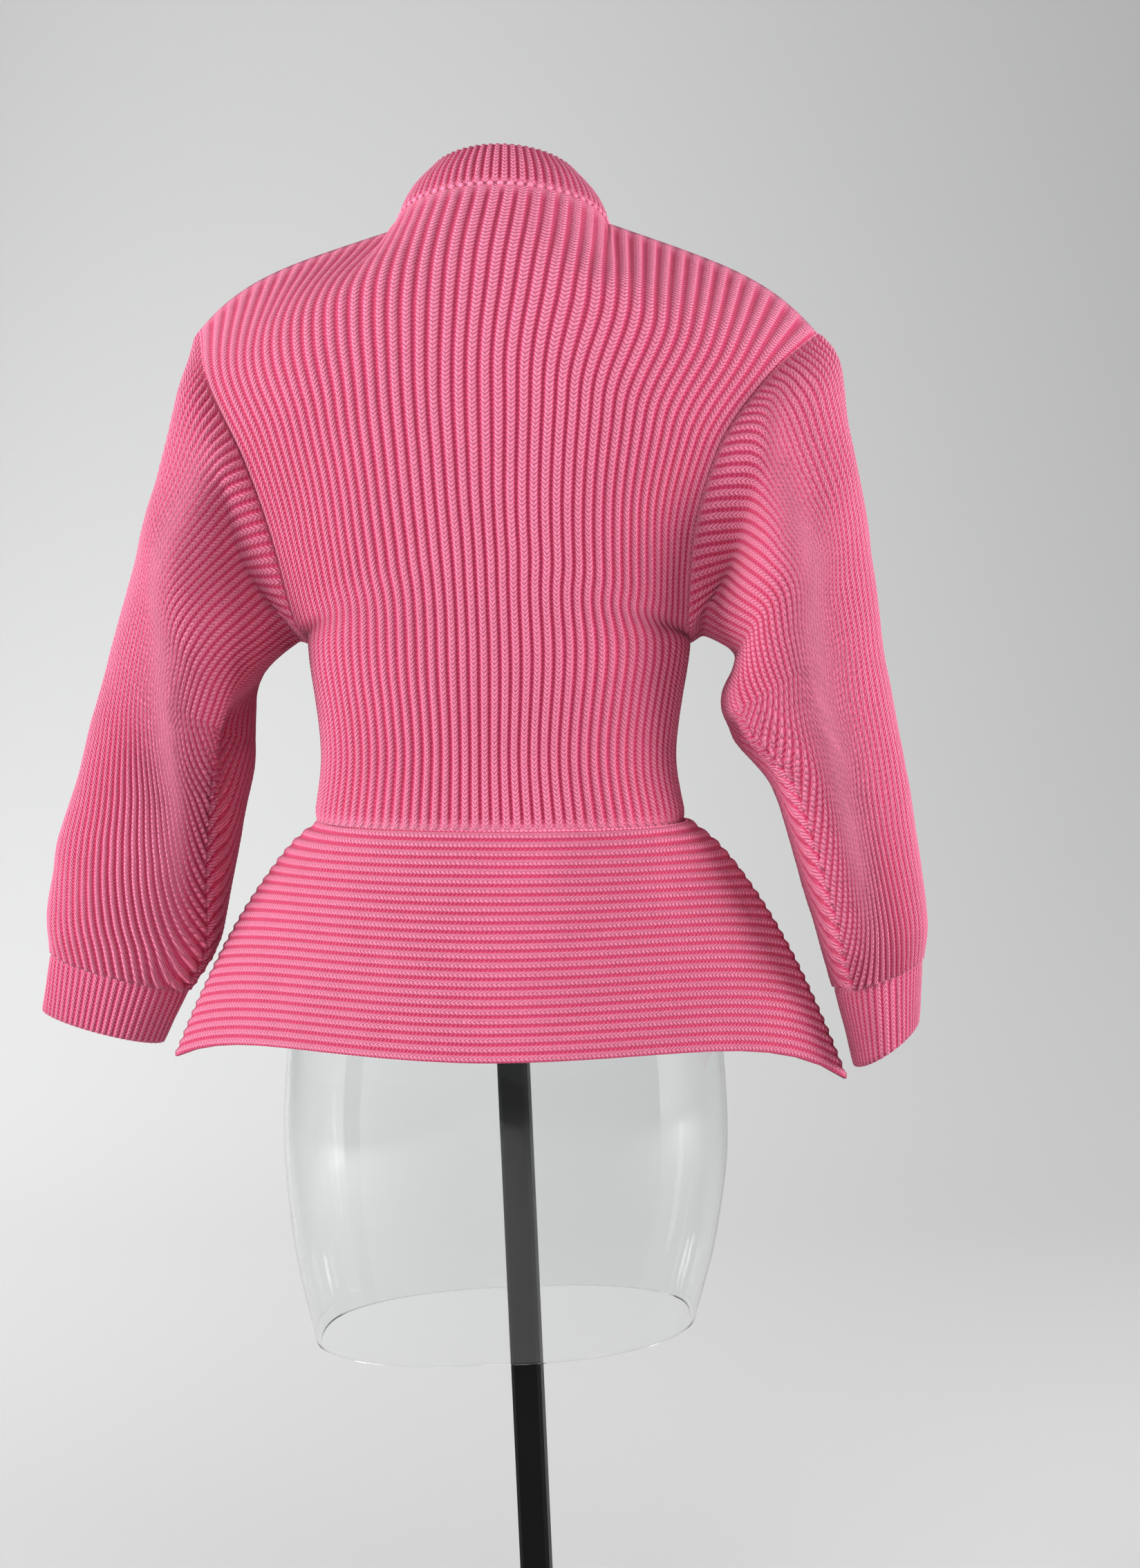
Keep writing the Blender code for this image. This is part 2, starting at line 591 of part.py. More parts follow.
def peplum_panel(name, side, material, parent):
    places = np.linspace(-1.0, 1.0, PEPLUM_COLUMNS + 1)
    steps = 2 * PEPLUM_RIBS
    grid = np.array([peplum_curve(step / steps, side, places) for step in range(steps + 1)])
    outward = surface_normals(grid)
    outward[0, :, 2] = 0.0
    outward[:, 0] = (-1.0, 0.0, 0.0)
    outward[:, -1] = (1.0, 0.0, 0.0)
    outward = unit(outward)
    wall = Wall()
    outer = []
    for step in range(steps + 1):
        outer.append(wall.row(places, grid[step] + outward[step] * rib_depth(step)))
    inner = [wall.row(places, grid[steps * n // PEPLUM_INNER_STEPS]) for n in range(PEPLUM_INNER_STEPS + 1)]
    finish_panel(wall, inner, outer)
    wall.build(name, material, parent)


# Stand

def form_ring(row):
    """One oval of the form's outer face, with the hips' crease at the back and front."""
    angles = np.linspace(0.0, 2 * math.pi, FORM_SIDES + 1)[:-1]
    power = 2.0 / row["square"]
    x = row["half_width"] * np.sign(np.sin(angles)) * np.abs(np.sin(angles)) ** power
    depth = np.where(np.cos(angles) > 0, row["back"], row["front"])
    y = -depth * np.sign(np.cos(angles)) * np.abs(np.cos(angles)) ** power
    hips = max(0.0, 1 - (row["height"] - FORM_SECTIONS[0][0]) / CREASE_RUN)
    y = y - np.sign(y) * CREASE_DEPTH * hips * np.exp(-(x / CREASE_WIDTH) ** 2)
    return np.stack([x, y, row["height"] + row["rise"] * x], axis=1)


def torso_form(material, parent):
    """The clear shell, open at its rim and closed by a flat plate at the neck."""
    grid = np.array([form_ring(row) for row in table(FORM_COLUMNS, FORM_SECTIONS)])
    closed = np.concatenate([grid[:, -1:], grid, grid[:, :1]], axis=1)
    outward = surface_normals(closed)[:, 1:-1]
    outward[0, :, 2] = 0.0
    outward[-1, :, 2] = 0.0
    inside = grid - unit(outward) * FORM_WALL
    inside[-1, :, 2] = grid[-1, :, 2] - FORM_WALL
    wall = Wall()
    rows = []
    for face in (inside, grid):
        levels = []
        for points in face:
            level = wall.row(range(FORM_SIDES), points)
            levels.append(level + [(FORM_SIDES, level[0][1])])
        wall.stitch_all(levels)
        wall.cap(levels[-1])
        rows.append(levels)
    wall.stitch(rows[0][0], rows[1][0])
    form = wall.build("torso_form", material, parent)
    form.data.shade_smooth()


def lean_at(x, z):
    """Where a point of the leaning form's frame lies in the stand's frame (x and z)."""
    up = z - LEAN_HEIGHT
    return (x * math.cos(LEAN) + up * math.sin(LEAN), LEAN_HEIGHT + up * math.cos(LEAN) - x * math.sin(LEAN))


def disc(name, radius, thick, bevel, height, material, parent, sides=40):
    mesh = bpy.data.meshes.new(name)
    work = bmesh.new()
    bmesh.ops.create_cone(work, cap_ends=True, segments=sides, radius1=radius * MM, radius2=radius * MM,
                          depth=thick * MM)
    upper_rim = [edge for edge in work.edges if all(vertex.co.z > 0 for vertex in edge.verts)]
    if bevel:
        bmesh.ops.bevel(work, geom=upper_rim, offset=bevel * MM, segments=2, affect="EDGES")
    work.to_mesh(mesh)
    work.free()
    mesh.materials.append(material)
    mesh.shade_smooth()
    mesh.set_sharp_from_angle(angle=math.radians(35))
    piece = bpy.data.objects.new(name, mesh)
    bpy.context.collection.objects.link(piece)
    piece.location = (0.0, 0.0, (height + thick / 2) * MM)
    piece.parent = parent
    return piece


def square_outline(size, edge):
    """The eight corners of a square with flattened corners."""
    half = size / 2
    near = half - edge
    return [(half, -near), (half, near), (near, half), (-near, half),
            (-half, near), (-half, -near), (-near, -half), (near, -half)]


def pole(material):
    """A square pole whose top is cut to the slant of the flange that it carries."""
    wall = Wall()
    corners = square_outline(POLE_SIZE, POLE_EDGE)
    flange_under = FORM_SECTIONS[-1][0] - FORM_WALL - SEAM_GAP - FLANGE_THICK
    middle_x, middle_z = lean_at(0.0, flange_under)
    bottom = [(x, y, BASE_THICK + SEAM_GAP) for x, y in corners]
    top = [(x, y, middle_z - (x - middle_x) * math.tan(LEAN) - SEAM_GAP / math.cos(LEAN)) for x, y in corners]
    rows = []
    for points in (bottom, top):
        row = wall.row(range(8), points)
        row.append((8, row[0][1]))
        wall.cap(row)
        rows.append(row)
    wall.stitch_all(rows)
    wall.build("pole", material, None)


def base_socket(material):
    """A short square collar on the base plate that holds the pole's foot."""
    wall = Wall()
    low = BASE_THICK + SEAM_GAP
    high = low + SOCKET_HEIGHT
    outline = square_outline(SOCKET_SIZE, SOCKET_EDGE)
    bore = square_outline(POLE_SIZE + 2 * SEAM_GAP, POLE_EDGE)
    rows = []
    for corners, height in ((outline, low), (outline, high), (bore, high), (bore, low)):
        row = wall.row(range(8), [(x, y, height) for x, y in corners])
        row.append((8, row[0][1]))
        rows.append(row)
    wall.stitch_all(rows + rows[:1])
    wall.build("base_socket", material, None)


def principled(name, colour, roughness, metallic=0.0, alpha=1.0):
    material = bpy.data.materials.new(name)
    material.use_nodes = True
    shader = material.node_tree.nodes["Principled BSDF"]
    shader.inputs["Base Color"].default_value = (*colour, 1.0)
    shader.inputs["Roughness"].default_value = roughness
    shader.inputs["Metallic"].default_value = metallic
    shader.inputs["Alpha"].default_value = alpha
    return material


def build_part():
    for thing in list(bpy.data.objects):
        bpy.data.objects.remove(thing, do_unlink=True)
    wool = principled("pink_wool", (0.78, 0.15, 0.28), 0.9)
    acrylic = principled("clear_acrylic", (0.9, 0.92, 0.93), 0.05, alpha=0.3)
    steel = principled("black_steel", (0.012, 0.012, 0.013), 0.45)

    askew = bpy.data.objects.new("askew", None)
    bpy.context.collection.objects.link(askew)
    level_x, level_z = lean_at(0.0, 0.0)
    askew.location = (level_x * MM, 0.0, level_z * MM)
    askew.rotation_euler = (0.0, LEAN, 0.0)

    body_panel("back", -1, wool, askew)
    body_panel("front", 1, wool, askew)
    sleeve("left_sleeve", -1, table(SLEEVE_COLUMNS, LEFT_SLEEVE), wool, askew)
    sleeve("right_sleeve", 1, table(SLEEVE_COLUMNS, RIGHT_SLEEVE), wool, askew)
    cuff("left_cuff", -1, table(CUFF_COLUMNS, LEFT_CUFF), wool, askew)
    cuff("right_cuff", 1, table(CUFF_COLUMNS, RIGHT_CUFF), wool, askew)
    collar(wool, askew)
    peplum_panel("peplum_back", -1, wool, askew)
    peplum_panel("peplum_front", 1, wool, askew)

    torso_form(acrylic, askew)
    flange_low = FORM_SECTIONS[-1][0] - FORM_WALL - SEAM_GAP - FLANGE_THICK
    disc("neck_flange", FLANGE_RADIUS, FLANGE_THICK, 0.0, flange_low, steel, askew, sides=32)
    pole(steel)
    base_socket(steel)
    disc("base_plate", BASE_RADIUS, BASE_THICK, BASE_BEVEL, 0.0, steel, None)


build_part()
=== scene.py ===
"""A chunky-ribbed wool sweater with a flared peplum on a clear torso form: the looks, round the frame.

The garment's back faces -Y, +X is the wearer's right, +Z is up. Sizes in the tables are millimetres, and
the pieces repeat the solids' own sizes, because this script reads only the frame.
"""
import math

import bpy
import bmesh
import numpy as np
from mathutils import Matrix


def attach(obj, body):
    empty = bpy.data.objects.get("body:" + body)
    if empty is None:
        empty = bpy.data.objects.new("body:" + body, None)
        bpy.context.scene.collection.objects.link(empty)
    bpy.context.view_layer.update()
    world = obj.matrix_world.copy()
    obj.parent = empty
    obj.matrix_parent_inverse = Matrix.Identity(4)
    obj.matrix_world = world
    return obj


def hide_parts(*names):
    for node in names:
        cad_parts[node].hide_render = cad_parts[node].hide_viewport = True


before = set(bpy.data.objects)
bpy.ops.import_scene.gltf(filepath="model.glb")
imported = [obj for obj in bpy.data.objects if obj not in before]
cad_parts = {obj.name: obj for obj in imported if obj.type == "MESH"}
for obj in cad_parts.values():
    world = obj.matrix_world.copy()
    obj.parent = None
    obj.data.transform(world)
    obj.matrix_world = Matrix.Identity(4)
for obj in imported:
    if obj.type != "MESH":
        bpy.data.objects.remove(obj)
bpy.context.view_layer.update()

MM = 0.001

# Camera. A long lens a little to the right of the garment's back, at chest height, turned right and down
# so that the sweater stands left of the middle, and rolled slightly: the pole's foot leans right.
CAMERA_DISTANCE = 1.395
CAMERA_HEIGHT = 0.79
CAMERA_TURN = math.radians(8.0)
FRAME_HEIGHT_PX = 2268
FOCAL_PX = 2900
SENSOR_HEIGHT = 36.0
PAN = math.atan(100 / FOCAL_PX)
PITCH = math.atan(160 / FOCAL_PX)
ROLL = math.radians(2.5)


def added(name, data):
    """Put a new object with the given data into the scene."""
    made = bpy.data.objects.new(name, data)
    bpy.context.collection.objects.link(made)
    return made


def turned_to(directions, place):
    """The matrix of a thing at a place, with its own axes turned to three given directions."""
    rows = [[*row, place[axis]] for axis, row in enumerate(zip(*directions))]
    return Matrix(rows + [[0.0, 0.0, 0.0, 1.0]])


level_right = np.array([math.cos(CAMERA_TURN), math.sin(CAMERA_TURN), 0.0])
level_ahead = np.array([-math.sin(CAMERA_TURN), math.cos(CAMERA_TURN), 0.0])
panned = level_ahead * math.cos(PAN) + level_right * math.sin(PAN)
right = level_right * math.cos(PAN) - level_ahead * math.sin(PAN)
ahead = panned * math.cos(PITCH) - np.array([0.0, 0.0, math.sin(PITCH)])
up = panned * math.sin(PITCH) + np.array([0.0, 0.0, math.cos(PITCH)])
rolled_right = right * math.cos(ROLL) - up * math.sin(ROLL)
rolled_up = right * math.sin(ROLL) + up * math.cos(ROLL)

lens = bpy.data.cameras.new("camera")
lens.sensor_fit = "VERTICAL"
lens.sensor_height = SENSOR_HEIGHT
lens.lens = FOCAL_PX / FRAME_HEIGHT_PX * SENSOR_HEIGHT
camera = added("camera", lens)
place = np.array([0.0, 0.0, CAMERA_HEIGHT]) - CAMERA_DISTANCE * level_ahead
camera.matrix_world = turned_to((rolled_right, rolled_up, -ahead), place)
bpy.context.scene.camera = camera


# Back and front. Two rib-knitted wool panels, shaped on the needles: the ribs fan out from the waist seam
# up to the collar and the shoulders, and none is cut by the armhole. Each rib is a raised column of knit
# stitches beside a sunk column of purl, and the panels are linked at the sides and shoulders.
WALL = 2.2
RIB_HEIGHT = 2.0
CLOTH = WALL + RIB_HEIGHT
SEAM_GAP = 0.3
CURVED_SEAM_GAP = 0.6
STITCH_HEIGHT = 2.9
COLUMNS_PER_RIB = 8
INNER_STEP = 4
BODY_RIBS = 48
NECK_SHARE = 10 / (BODY_RIBS / 2)
BODY_ROWS = 88
UNDERARM_RISE = 0.3
DENSE = 240
LEAN = math.radians(2.4)
LEAN_HEIGHT = 660.0
NECK_HALF_WIDTH = 70.0
NECK_HALF_DEPTH = 60.0
NECK_CENTRE_Y = 6.0
NECK_SIDE_Z = 1098.0
NECK_FALL = 0.25
TIP_X = 213.0
TIP_Z = 1026.0
RIDGE_TILT = 0.035
RIDGE_SLOPE = 0.33
RIDGE_DROP_POWER = 5.0
LEVEL_POWER = 1.6
RIB_CROWDING = ((0.00, 0.06), (0.30, 0.10), (0.46, -0.11), (0.65, -0.14), (0.85, -0.08), (1.00, -0.08))
NECK_PLAN_SHARE = 9.3 / (BODY_RIBS / 2)
NECK_EVENING = 0.7
NECK_EVENING_FROM = 0.8
BODY_BLUR = 6
BODY_COLUMNS = ("rise", "side_x", "side_z", "shift", "power", "bow", "mid_y", "mid_z", "side_y")
# The last three columns come twice, for the back and for the front.
BODY_GUIDES = (
    (0.00, 125.5, 690, -3, 2.15, 0.465, -89, 690, 0, 89, 690, 0),
    (0.12, 119.5, 736, -4, 2.15, 0.465, -85, 736, 0, 86, 736, 0),
    (0.30, 128, 812, -3, 2.20, 0.455, -95, 808, 0, 98, 806, 0),
    (0.42, 131, 829, -4, 2.80, 0.90, -102, 860, -38, 106, 855, 38),
    (0.55, 138, 876, -7, 2.80, 1.00, -107, 918, -54, 108, 910, 54),
    (0.70, 157, 937, -9, 2.60, 1.00, -106, 985, -58, 99, 972, 58),
    (0.85, 189, 989, -6, 2.40, 1.00, -90, 1052, -38, 84, 1030, 42),
)
ARMHOLE_MID_Z = 917.0
ARMHOLE_HALF_HEIGHT = 104.0
ARMHOLE_HALF_DEPTH = 56.0
ARMHOLE_FLARE = 0.6


def table(columns, rows):
    """Give the rows of a table as dictionaries by column name."""
    return [dict(zip(columns, row)) for row in rows]


def unit(vectors):
    """Scale each vector of an array to length 1."""
    lengths = np.linalg.norm(vectors, axis=-1, keepdims=True)
    return vectors / np.maximum(lengths, 1e-9)


def share_out(curve, fractions):
    """Pick points at the given fractions of a polyline's length; extra columns ride along."""
    steps = np.linalg.norm(np.diff(curve[:, :3], axis=0), axis=1)
    length = np.concatenate([[0.0], np.cumsum(steps)])
    wanted = np.asarray(fractions) * length[-1]
    return np.stack([np.interp(wanted, length, column) for column in curve.T], axis=1)


def gentle_slopes(stations, values):
    """Slopes at the guide rows that never overshoot: level wherever a value turns round."""
    spans = np.diff(stations).reshape(-1, *[1] * (values.ndim - 1))
    secants = np.diff(values, axis=0) / spans
    before = secants[:-1]
    after = secants[1:]
    same_way = before * after > 0
    slopes = np.where(same_way, 2 * before * after / np.where(same_way, before + after, 1.0), 0.0)
    return np.concatenate([secants[:1], slopes, secants[-1:]])


def smooth_between(stations, values, wanted):
    """Interpolate whole rows of points with a smooth cubic through the guide rows."""
    stations = np.asarray(stations, dtype=float)
    values = np.asarray(values, dtype=float)
    slopes = gentle_slopes(stations, values)
    index = int(np.clip(np.searchsorted(stations, wanted, side="right") - 1, 0, len(stations) - 2))
    span = stations[index + 1] - stations[index]
    t = (wanted - stations[index]) / span
    return ((2 * t ** 3 - 3 * t ** 2 + 1) * values[index]
            + (t ** 3 - 2 * t ** 2 + t) * span * slopes[index]
            + (3 * t ** 2 - 2 * t ** 3) * values[index + 1]
            + (t ** 3 - t ** 2) * span * slopes[index + 1])


def grid_normals(grid, closed=False):
    """Normals of a grid of points round the Z axis, turned away from the grid's own middle line."""
    wide = np.concatenate([grid[:, -2:-1], grid, grid[:, 1:2]], axis=1) if closed else grid
    normals = unit(np.cross(np.gradient(wide, axis=1), np.gradient(wide, axis=0)))
    if closed:
        normals = normals[:, 1:-1]
    middle = grid.mean(axis=1, keepdims=True)
    if closed:
        facing = np.sum(normals * (grid - middle))
    else:
        facing = np.sum(normals[:, :, 1] * np.sign(grid[0, grid.shape[1] // 2, 1]))
    return normals if facing > 0 else -normals


def blurred(directions, rounds):
    """Even out directions between the edges of a grid, which keep theirs."""
    for _ in range(rounds):
        inner = directions[1:-1, 1:-1]
        around = directions[:-2, 1:-1] + directions[2:, 1:-1] + directions[1:-1, :-2] + directions[1:-1, 2:]
        directions[1:-1, 1:-1] = unit(inner + around)
    return directions


def leaning(points, centre=LEAN_HEIGHT):
    """Tip points of the upright form to where it leans on its pole; directions tip about a centre of 0."""
    x = points[..., 0]
    rise = points[..., 2] - centre
    return np.stack([x * math.cos(LEAN) + rise * math.sin(LEAN), points[..., 1],
                     centre + rise * math.cos(LEAN) - x * math.sin(LEAN)], axis=-1)


def along_columns(grid):
    """How far each point of a grid lies from its column's first point, in millimetres."""
    steps = np.linalg.norm(np.diff(grid, axis=0), axis=2)
    return np.concatenate([np.zeros((1, grid.shape[1])), np.cumsum(steps, axis=0)])


def body_guide(row, fractions):
    """One guide curve across a panel, from one side to the other."""
    reach = np.sin(np.linspace(-math.pi / 2, math.pi / 2, 2 * DENSE + 1))
    inward = (1 - np.abs(reach) ** row["power"]) ** row["bow"]
    x = row["side_x"] * reach + row["shift"]
    y = row["side_y"] + (row["mid_y"] - row["side_y"]) * inward
    z = row["mid_z"] + (row["side_z"] - row["mid_z"]) * np.abs(reach) ** LEVEL_POWER
    return share_out(np.stack([x, y, z], axis=1), fractions)


def ridge_height(x):
    """Height of the shoulder's ridge between the neck's side and the tip; x is negative on the left."""
    run = TIP_X - NECK_HALF_WIDTH
    share = (abs(x) - NECK_HALF_WIDTH) / run
    drop = NECK_SIDE_Z - RIDGE_SLOPE * run - TIP_Z
    slope = RIDGE_SLOPE + math.copysign(RIDGE_TILT, x)
    return NECK_SIDE_Z - slope * run * share - drop * share ** RIDGE_DROP_POWER


def neck_point(angle, half_width=NECK_HALF_WIDTH, half_depth=NECK_HALF_DEPTH, centre_y=NECK_CENTRE_Y):
    """A point of the neck's oval; the angle runs from the middle of the back."""
    y = centre_y - half_depth * math.cos(angle)
    return np.array([half_width * math.sin(angle), y, NECK_SIDE_Z - NECK_FALL * (y - NECK_CENTRE_Y)])


def top_line(side, places):
    """The panel's top edge: round the neck, then out along the shoulder's ridge."""
    points = []
    for spot in places:
        reach = abs(spot)
        if reach <= NECK_SHARE:
            angle = math.pi / 2 * reach / NECK_SHARE
            point = neck_point(angle if side < 0 else math.pi - angle)
            point[0] = abs(point[0])
        else:
            x = NECK_HALF_WIDTH + (TIP_X - NECK_HALF_WIDTH) * (reach - NECK_SHARE) / (1 - NECK_SHARE)
            point = np.array([x, NECK_CENTRE_Y, ridge_height(math.copysign(x, spot))])
        point[0] *= math.copysign(1.0, spot)
        points.append(point)
    return np.array(points)


def top_line_outward(line, places):
    """Directions square to the top edge: level with the neck's plane there, upward along the ridge."""
    directions = []
    for point, spot in zip(line, places):
        if abs(spot) < NECK_SHARE + 1e-6:
            outward = np.array([point[0], point[1] - NECK_CENTRE_Y, 0.0])
            outward[2] = -NECK_FALL * outward[1]
        else:
            outward = np.array([ridge_height(point[0] - 1.0) - ridge_height(point[0]), 0.0, 1.0])
        directions.append(outward)
    return unit(np.array(directions))


def armhole_outward(edge, sign):
    """Directions through the cloth along one side of an armhole; those at its ends stay in the seams."""
    across = edge[:, 1] / ARMHOLE_HALF_DEPTH ** 2
    across[[0, -1]] = 0.0
    upward = (edge[:, 2] - ARMHOLE_MID_Z) / ARMHOLE_HALF_HEIGHT ** 2
    radial = unit(np.stack([np.zeros(len(edge)), across, upward], axis=1))
    return unit(radial + np.array([sign * ARMHOLE_FLARE, 0.0, 0.0]))


def body_surface(side, columns, rows):
    """Points and outward directions of a body panel's inner face; side is -1 for the back."""
    places = np.linspace(-1.0, 1.0, columns + 1)
    guides = table(BODY_COLUMNS, [row[:6] + (row[6:9] if side < 0 else row[9:]) for row in BODY_GUIDES])
    curves = [body_guide(row, (places + 1) / 2) for row in guides]
    curves.append(top_line(side, places))
    stations = [row["rise"] for row in guides] + [1.0]
    rises = np.linspace(0.0, 1.0, rows + 1)
    grid = np.array([smooth_between(stations, curves, rise) for rise in rises])
    outward = grid_normals(grid)
    outward[0, :, 2] = 0.0
    outward[-1] = top_line_outward(grid[-1], places)
    underarm = int(np.searchsorted(rises, UNDERARM_RISE - 1e-6))
    for column in (0, -1):
        outward[:underarm, column] = (places[column], 0.0, 0.0)
        outward[underarm:, column] = armhole_outward(grid[underarm:, column], places[column])
        grid[:underarm + 1, column, 1] = side * SEAM_GAP / 2
    at_shoulder = np.abs(places) >= NECK_SHARE - 1e-6
    grid[-1, at_shoulder, 1] = NECK_CENTRE_Y + side * SEAM_GAP / 2
    return grid, blurred(unit(outward), BODY_BLUR), underarm


def panel_ribs(rise, across):
    """The place across a panel's ribs at one level, so that they run straight up to the collar."""
    crowded = across + smooth_between(*zip(*RIB_CROWDING), rise) * (across - across ** 3)
    around_neck = NECK_PLAN_SHARE * np.sin(np.minimum(np.abs(across) / NECK_SHARE, 1.0) * math.pi / 2)
    beyond = (1 - NECK_PLAN_SHARE) * np.maximum(np.abs(across) - NECK_SHARE, 0.0) / (1 - NECK_SHARE)
    even = np.sign(across) * (around_neck + beyond)
    near_top = NECK_EVENING * max(0.0, (rise - NECK_EVENING_FROM) / (1 - NECK_EVENING_FROM)) ** 2
    return BODY_RIBS / 2 * (1 + crowded + near_top * (even - crowded))


def srgb(code):
    """Turn an sRGB hex colour into linear values."""
    parts = [int(code[index:index + 2], 16) / 255 for index in (1, 3, 5)]
    return [part / 12.92 if part <= 0.04045 else ((part + 0.055) / 1.055) ** 2.4 for part in parts] + [1.0]


MATH = "ShaderNodeMath"
NOISE = "ShaderNodeTexNoise"


def add(tree, kind, inputs=None, **settings):
    """Add a node with its settings; each input is a number or colour, or the output of another node."""
    made = tree.nodes.new(kind)
    for name, value in settings.items():
        setattr(made, name, value)
    for name, value in (inputs or {}).items():
        if isinstance(value, bpy.types.NodeSocket):
            tree.links.new(value, made.inputs[name])
        else:
            made.inputs[name].default_value = value
    return made.outputs


def arches(tree, value):
    """A row of round arches, one between each whole number of the value and the next."""
    turn = add(tree, MATH, {0: value, 1: math.pi}, operation="MULTIPLY")[0]
    wave = add(tree, MATH, {0: turn}, operation="SINE")[0]
    return add(tree, MATH, {0: wave}, operation="ABSOLUTE")[0]


def new_material(name, values):
    """A new material with the given values in its shader's inputs."""
    made = bpy.data.materials.new(name)
    made.use_nodes = True
    for socket, value in values.items():
        made.node_tree.nodes["Principled BSDF"].inputs[socket].default_value = value
    return made


# Wool yarn in rib knit, matte with a soft nap: raised, rounded knit columns, each two rows of leaning yarn
# strands, and between them sunk rows of purl bumps. It is all one yarn, painted as lit and shaded copies:
# the light ridge colour is painted light, the deep, redder valley colour is painted shade where little
# light gets in, and the dark colour in the low places between the strands is painted shade too.
RIDGE_PAINTED_LIGHT_PINK = "#f68aab"
VALLEY_PAINTED_SHADE_PINK = "#dc4f79"
STRAND_GAP_PAINTED_SHADE = "#b81f4c"
NAP_PINK = "#ffc4d6"
RIDGE_EDGE = 0.29
RIDGE_BLEND = 0.15
STRAND_LEAN = 2.6
BUMP_ARCH = 2.2
YARN_RELIEF = 1.1
FUZZ_SIZE = 0.7
WANDER_SIZE = 6.0
FADING_SIZE = 50.0

wool = new_material("rib_knit_wool", {"Roughness": 0.95, "Specular IOR Level": 0.1, "Sheen Weight": 0.28,
                                      "Sheen Roughness": 0.5, "Sheen Tint": srgb(NAP_PINK)})
tree = wool.node_tree
shader = tree.nodes["Principled BSDF"]
knit = add(tree, "ShaderNodeSeparateXYZ", {"Vector": add(tree, "ShaderNodeUVMap", uv_map="knit")["UV"]})
spot = add(tree, "ShaderNodeTexCoord")["Object"]
fuzz = add(tree, NOISE, {"Vector": spot, "Scale": 1.0 / (FUZZ_SIZE * MM), "Detail": 3.0,
                         "Roughness": 0.65})["Fac"]
wander = add(tree, NOISE, {"Vector": spot, "Scale": 1.0 / (WANDER_SIZE * MM), "Detail": 1.0})["Fac"]
drift = add(tree, NOISE, {"Vector": spot, "Scale": 1.0 / (FADING_SIZE * MM), "Detail": 2.0})["Fac"]
column = add(tree, MATH, {0: knit["X"]}, operation="FRACT")[0]
off_middle = add(tree, MATH, {0: column, 1: 0.5}, operation="SUBTRACT")[0]
straight = add(tree, MATH, {0: off_middle}, operation="ABSOLUTE")[0]
beside = add(tree, MATH, {0: fuzz, 1: 0.14, 2: straight}, operation="MULTIPLY_ADD")[0]
# Where the ridge colour (painted light) goes, and where the valley colour (painted shade) goes.
on_ridge = add(tree, "ShaderNodeMapRange", {"Value": beside, "From Min": RIDGE_EDGE + RIDGE_BLEND,
                                            "From Max": RIDGE_EDGE},
               interpolation_type="SMOOTHSTEP")["Result"]
row = add(tree, MATH, {0: wander, 1: 0.5, 2: knit["Y"]}, operation="MULTIPLY_ADD")[0]
strand_row = add(tree, MATH, {0: beside, 1: -STRAND_LEAN, 2: row}, operation="MULTIPLY_ADD")[0]
groove = add(tree, "ShaderNodeMapRange", {"Value": straight, "From Min": 0.0, "From Max": 0.08,
                                          "To Min": 0.5}, interpolation_type="SMOOTHSTEP")["Result"]
knit_height = add(tree, MATH, {0: arches(tree, strand_row), 1: groove}, operation="MULTIPLY")[0]
purl_row = add(tree, MATH, {0: beside, 1: BUMP_ARCH, 2: row}, operation="MULTIPLY_ADD")[0]
low_purl = add(tree, MATH, {0: arches(tree, purl_row), 1: 0.5}, operation="MULTIPLY")[0]
height = add(tree, "ShaderNodeMix", {0: on_ridge, 2: low_purl, 3: knit_height})[0]
yarn_height = add(tree, MATH, {0: fuzz, 1: 0.9, 2: height}, operation="MULTIPLY_ADD")[0]
# Painted shade in the low places between the yarn strands and among the purl bumps.
between = add(tree, "ShaderNodeMapRange", {"Value": height, "From Min": 0.05, "From Max": 0.6,
                                           "To Min": 0.75, "To Max": 0.0})["Result"]
# Where the ribs are flattened, the ridge colour spreads and the painted shade is taken out.
flattened = add(tree, "ShaderNodeAttribute", attribute_name="flattened")["Fac"]
painted_light_share = add(tree, MATH, {0: on_ridge, 1: flattened}, operation="MAXIMUM")[0]
upright = add(tree, MATH, {0: 1.0, 1: flattened}, operation="SUBTRACT")[0]
painted_gap_shade = add(tree, MATH, {0: between, 1: upright}, operation="MULTIPLY")[0]
# Lit and shaded copies of the one yarn: painted light on the ridges, painted shade in the valleys and
# strand gaps.
base = add(tree, "ShaderNodeMix", {0: painted_light_share, 6: srgb(VALLEY_PAINTED_SHADE_PINK), 7: srgb(RIDGE_PAINTED_LIGHT_PINK)},
           data_type="RGBA")[2]
painted_shade_colour = add(tree, "ShaderNodeMix", {0: painted_gap_shade, 6: base, 7: srgb(STRAND_GAP_PAINTED_SHADE)}, data_type="RGBA")[2]
mottle = add(tree, MATH, {0: fuzz, 1: 0.9, 2: 0.55}, operation="MULTIPLY_ADD")[0]
faded = add(tree, MATH, {0: drift, 1: 0.12, 2: mottle}, operation="MULTIPLY_ADD")[0]
dyed = add(tree, "ShaderNodeHueSaturation", {"Color": painted_shade_colour, "Value": faded})["Color"]
bump = add(tree, "ShaderNodeBump", {"Height": yarn_height, "Strength": 1.0,
                                    "Distance": YARN_RELIEF * MM})["Normal"]
tree.links.new(dyed, shader.inputs["Base Color"])
tree.links.new(bump, shader.inputs["Normal"])

# The ribs are raised from attributes that each shell carries: the place across the ribs, how much of the
# cloth's thickness and of the ribs' height a point takes, how loosely it hangs, and the way outward. The
# ribs' height is a little uneven, and the cloth sways in and out where no seam holds it.
ROUNDNESS = 0.8
UNEVENNESS = 0.2
UNEVEN_SIZE = 9.0
SWAY = 2.5
SWAY_SIZE = 45.0


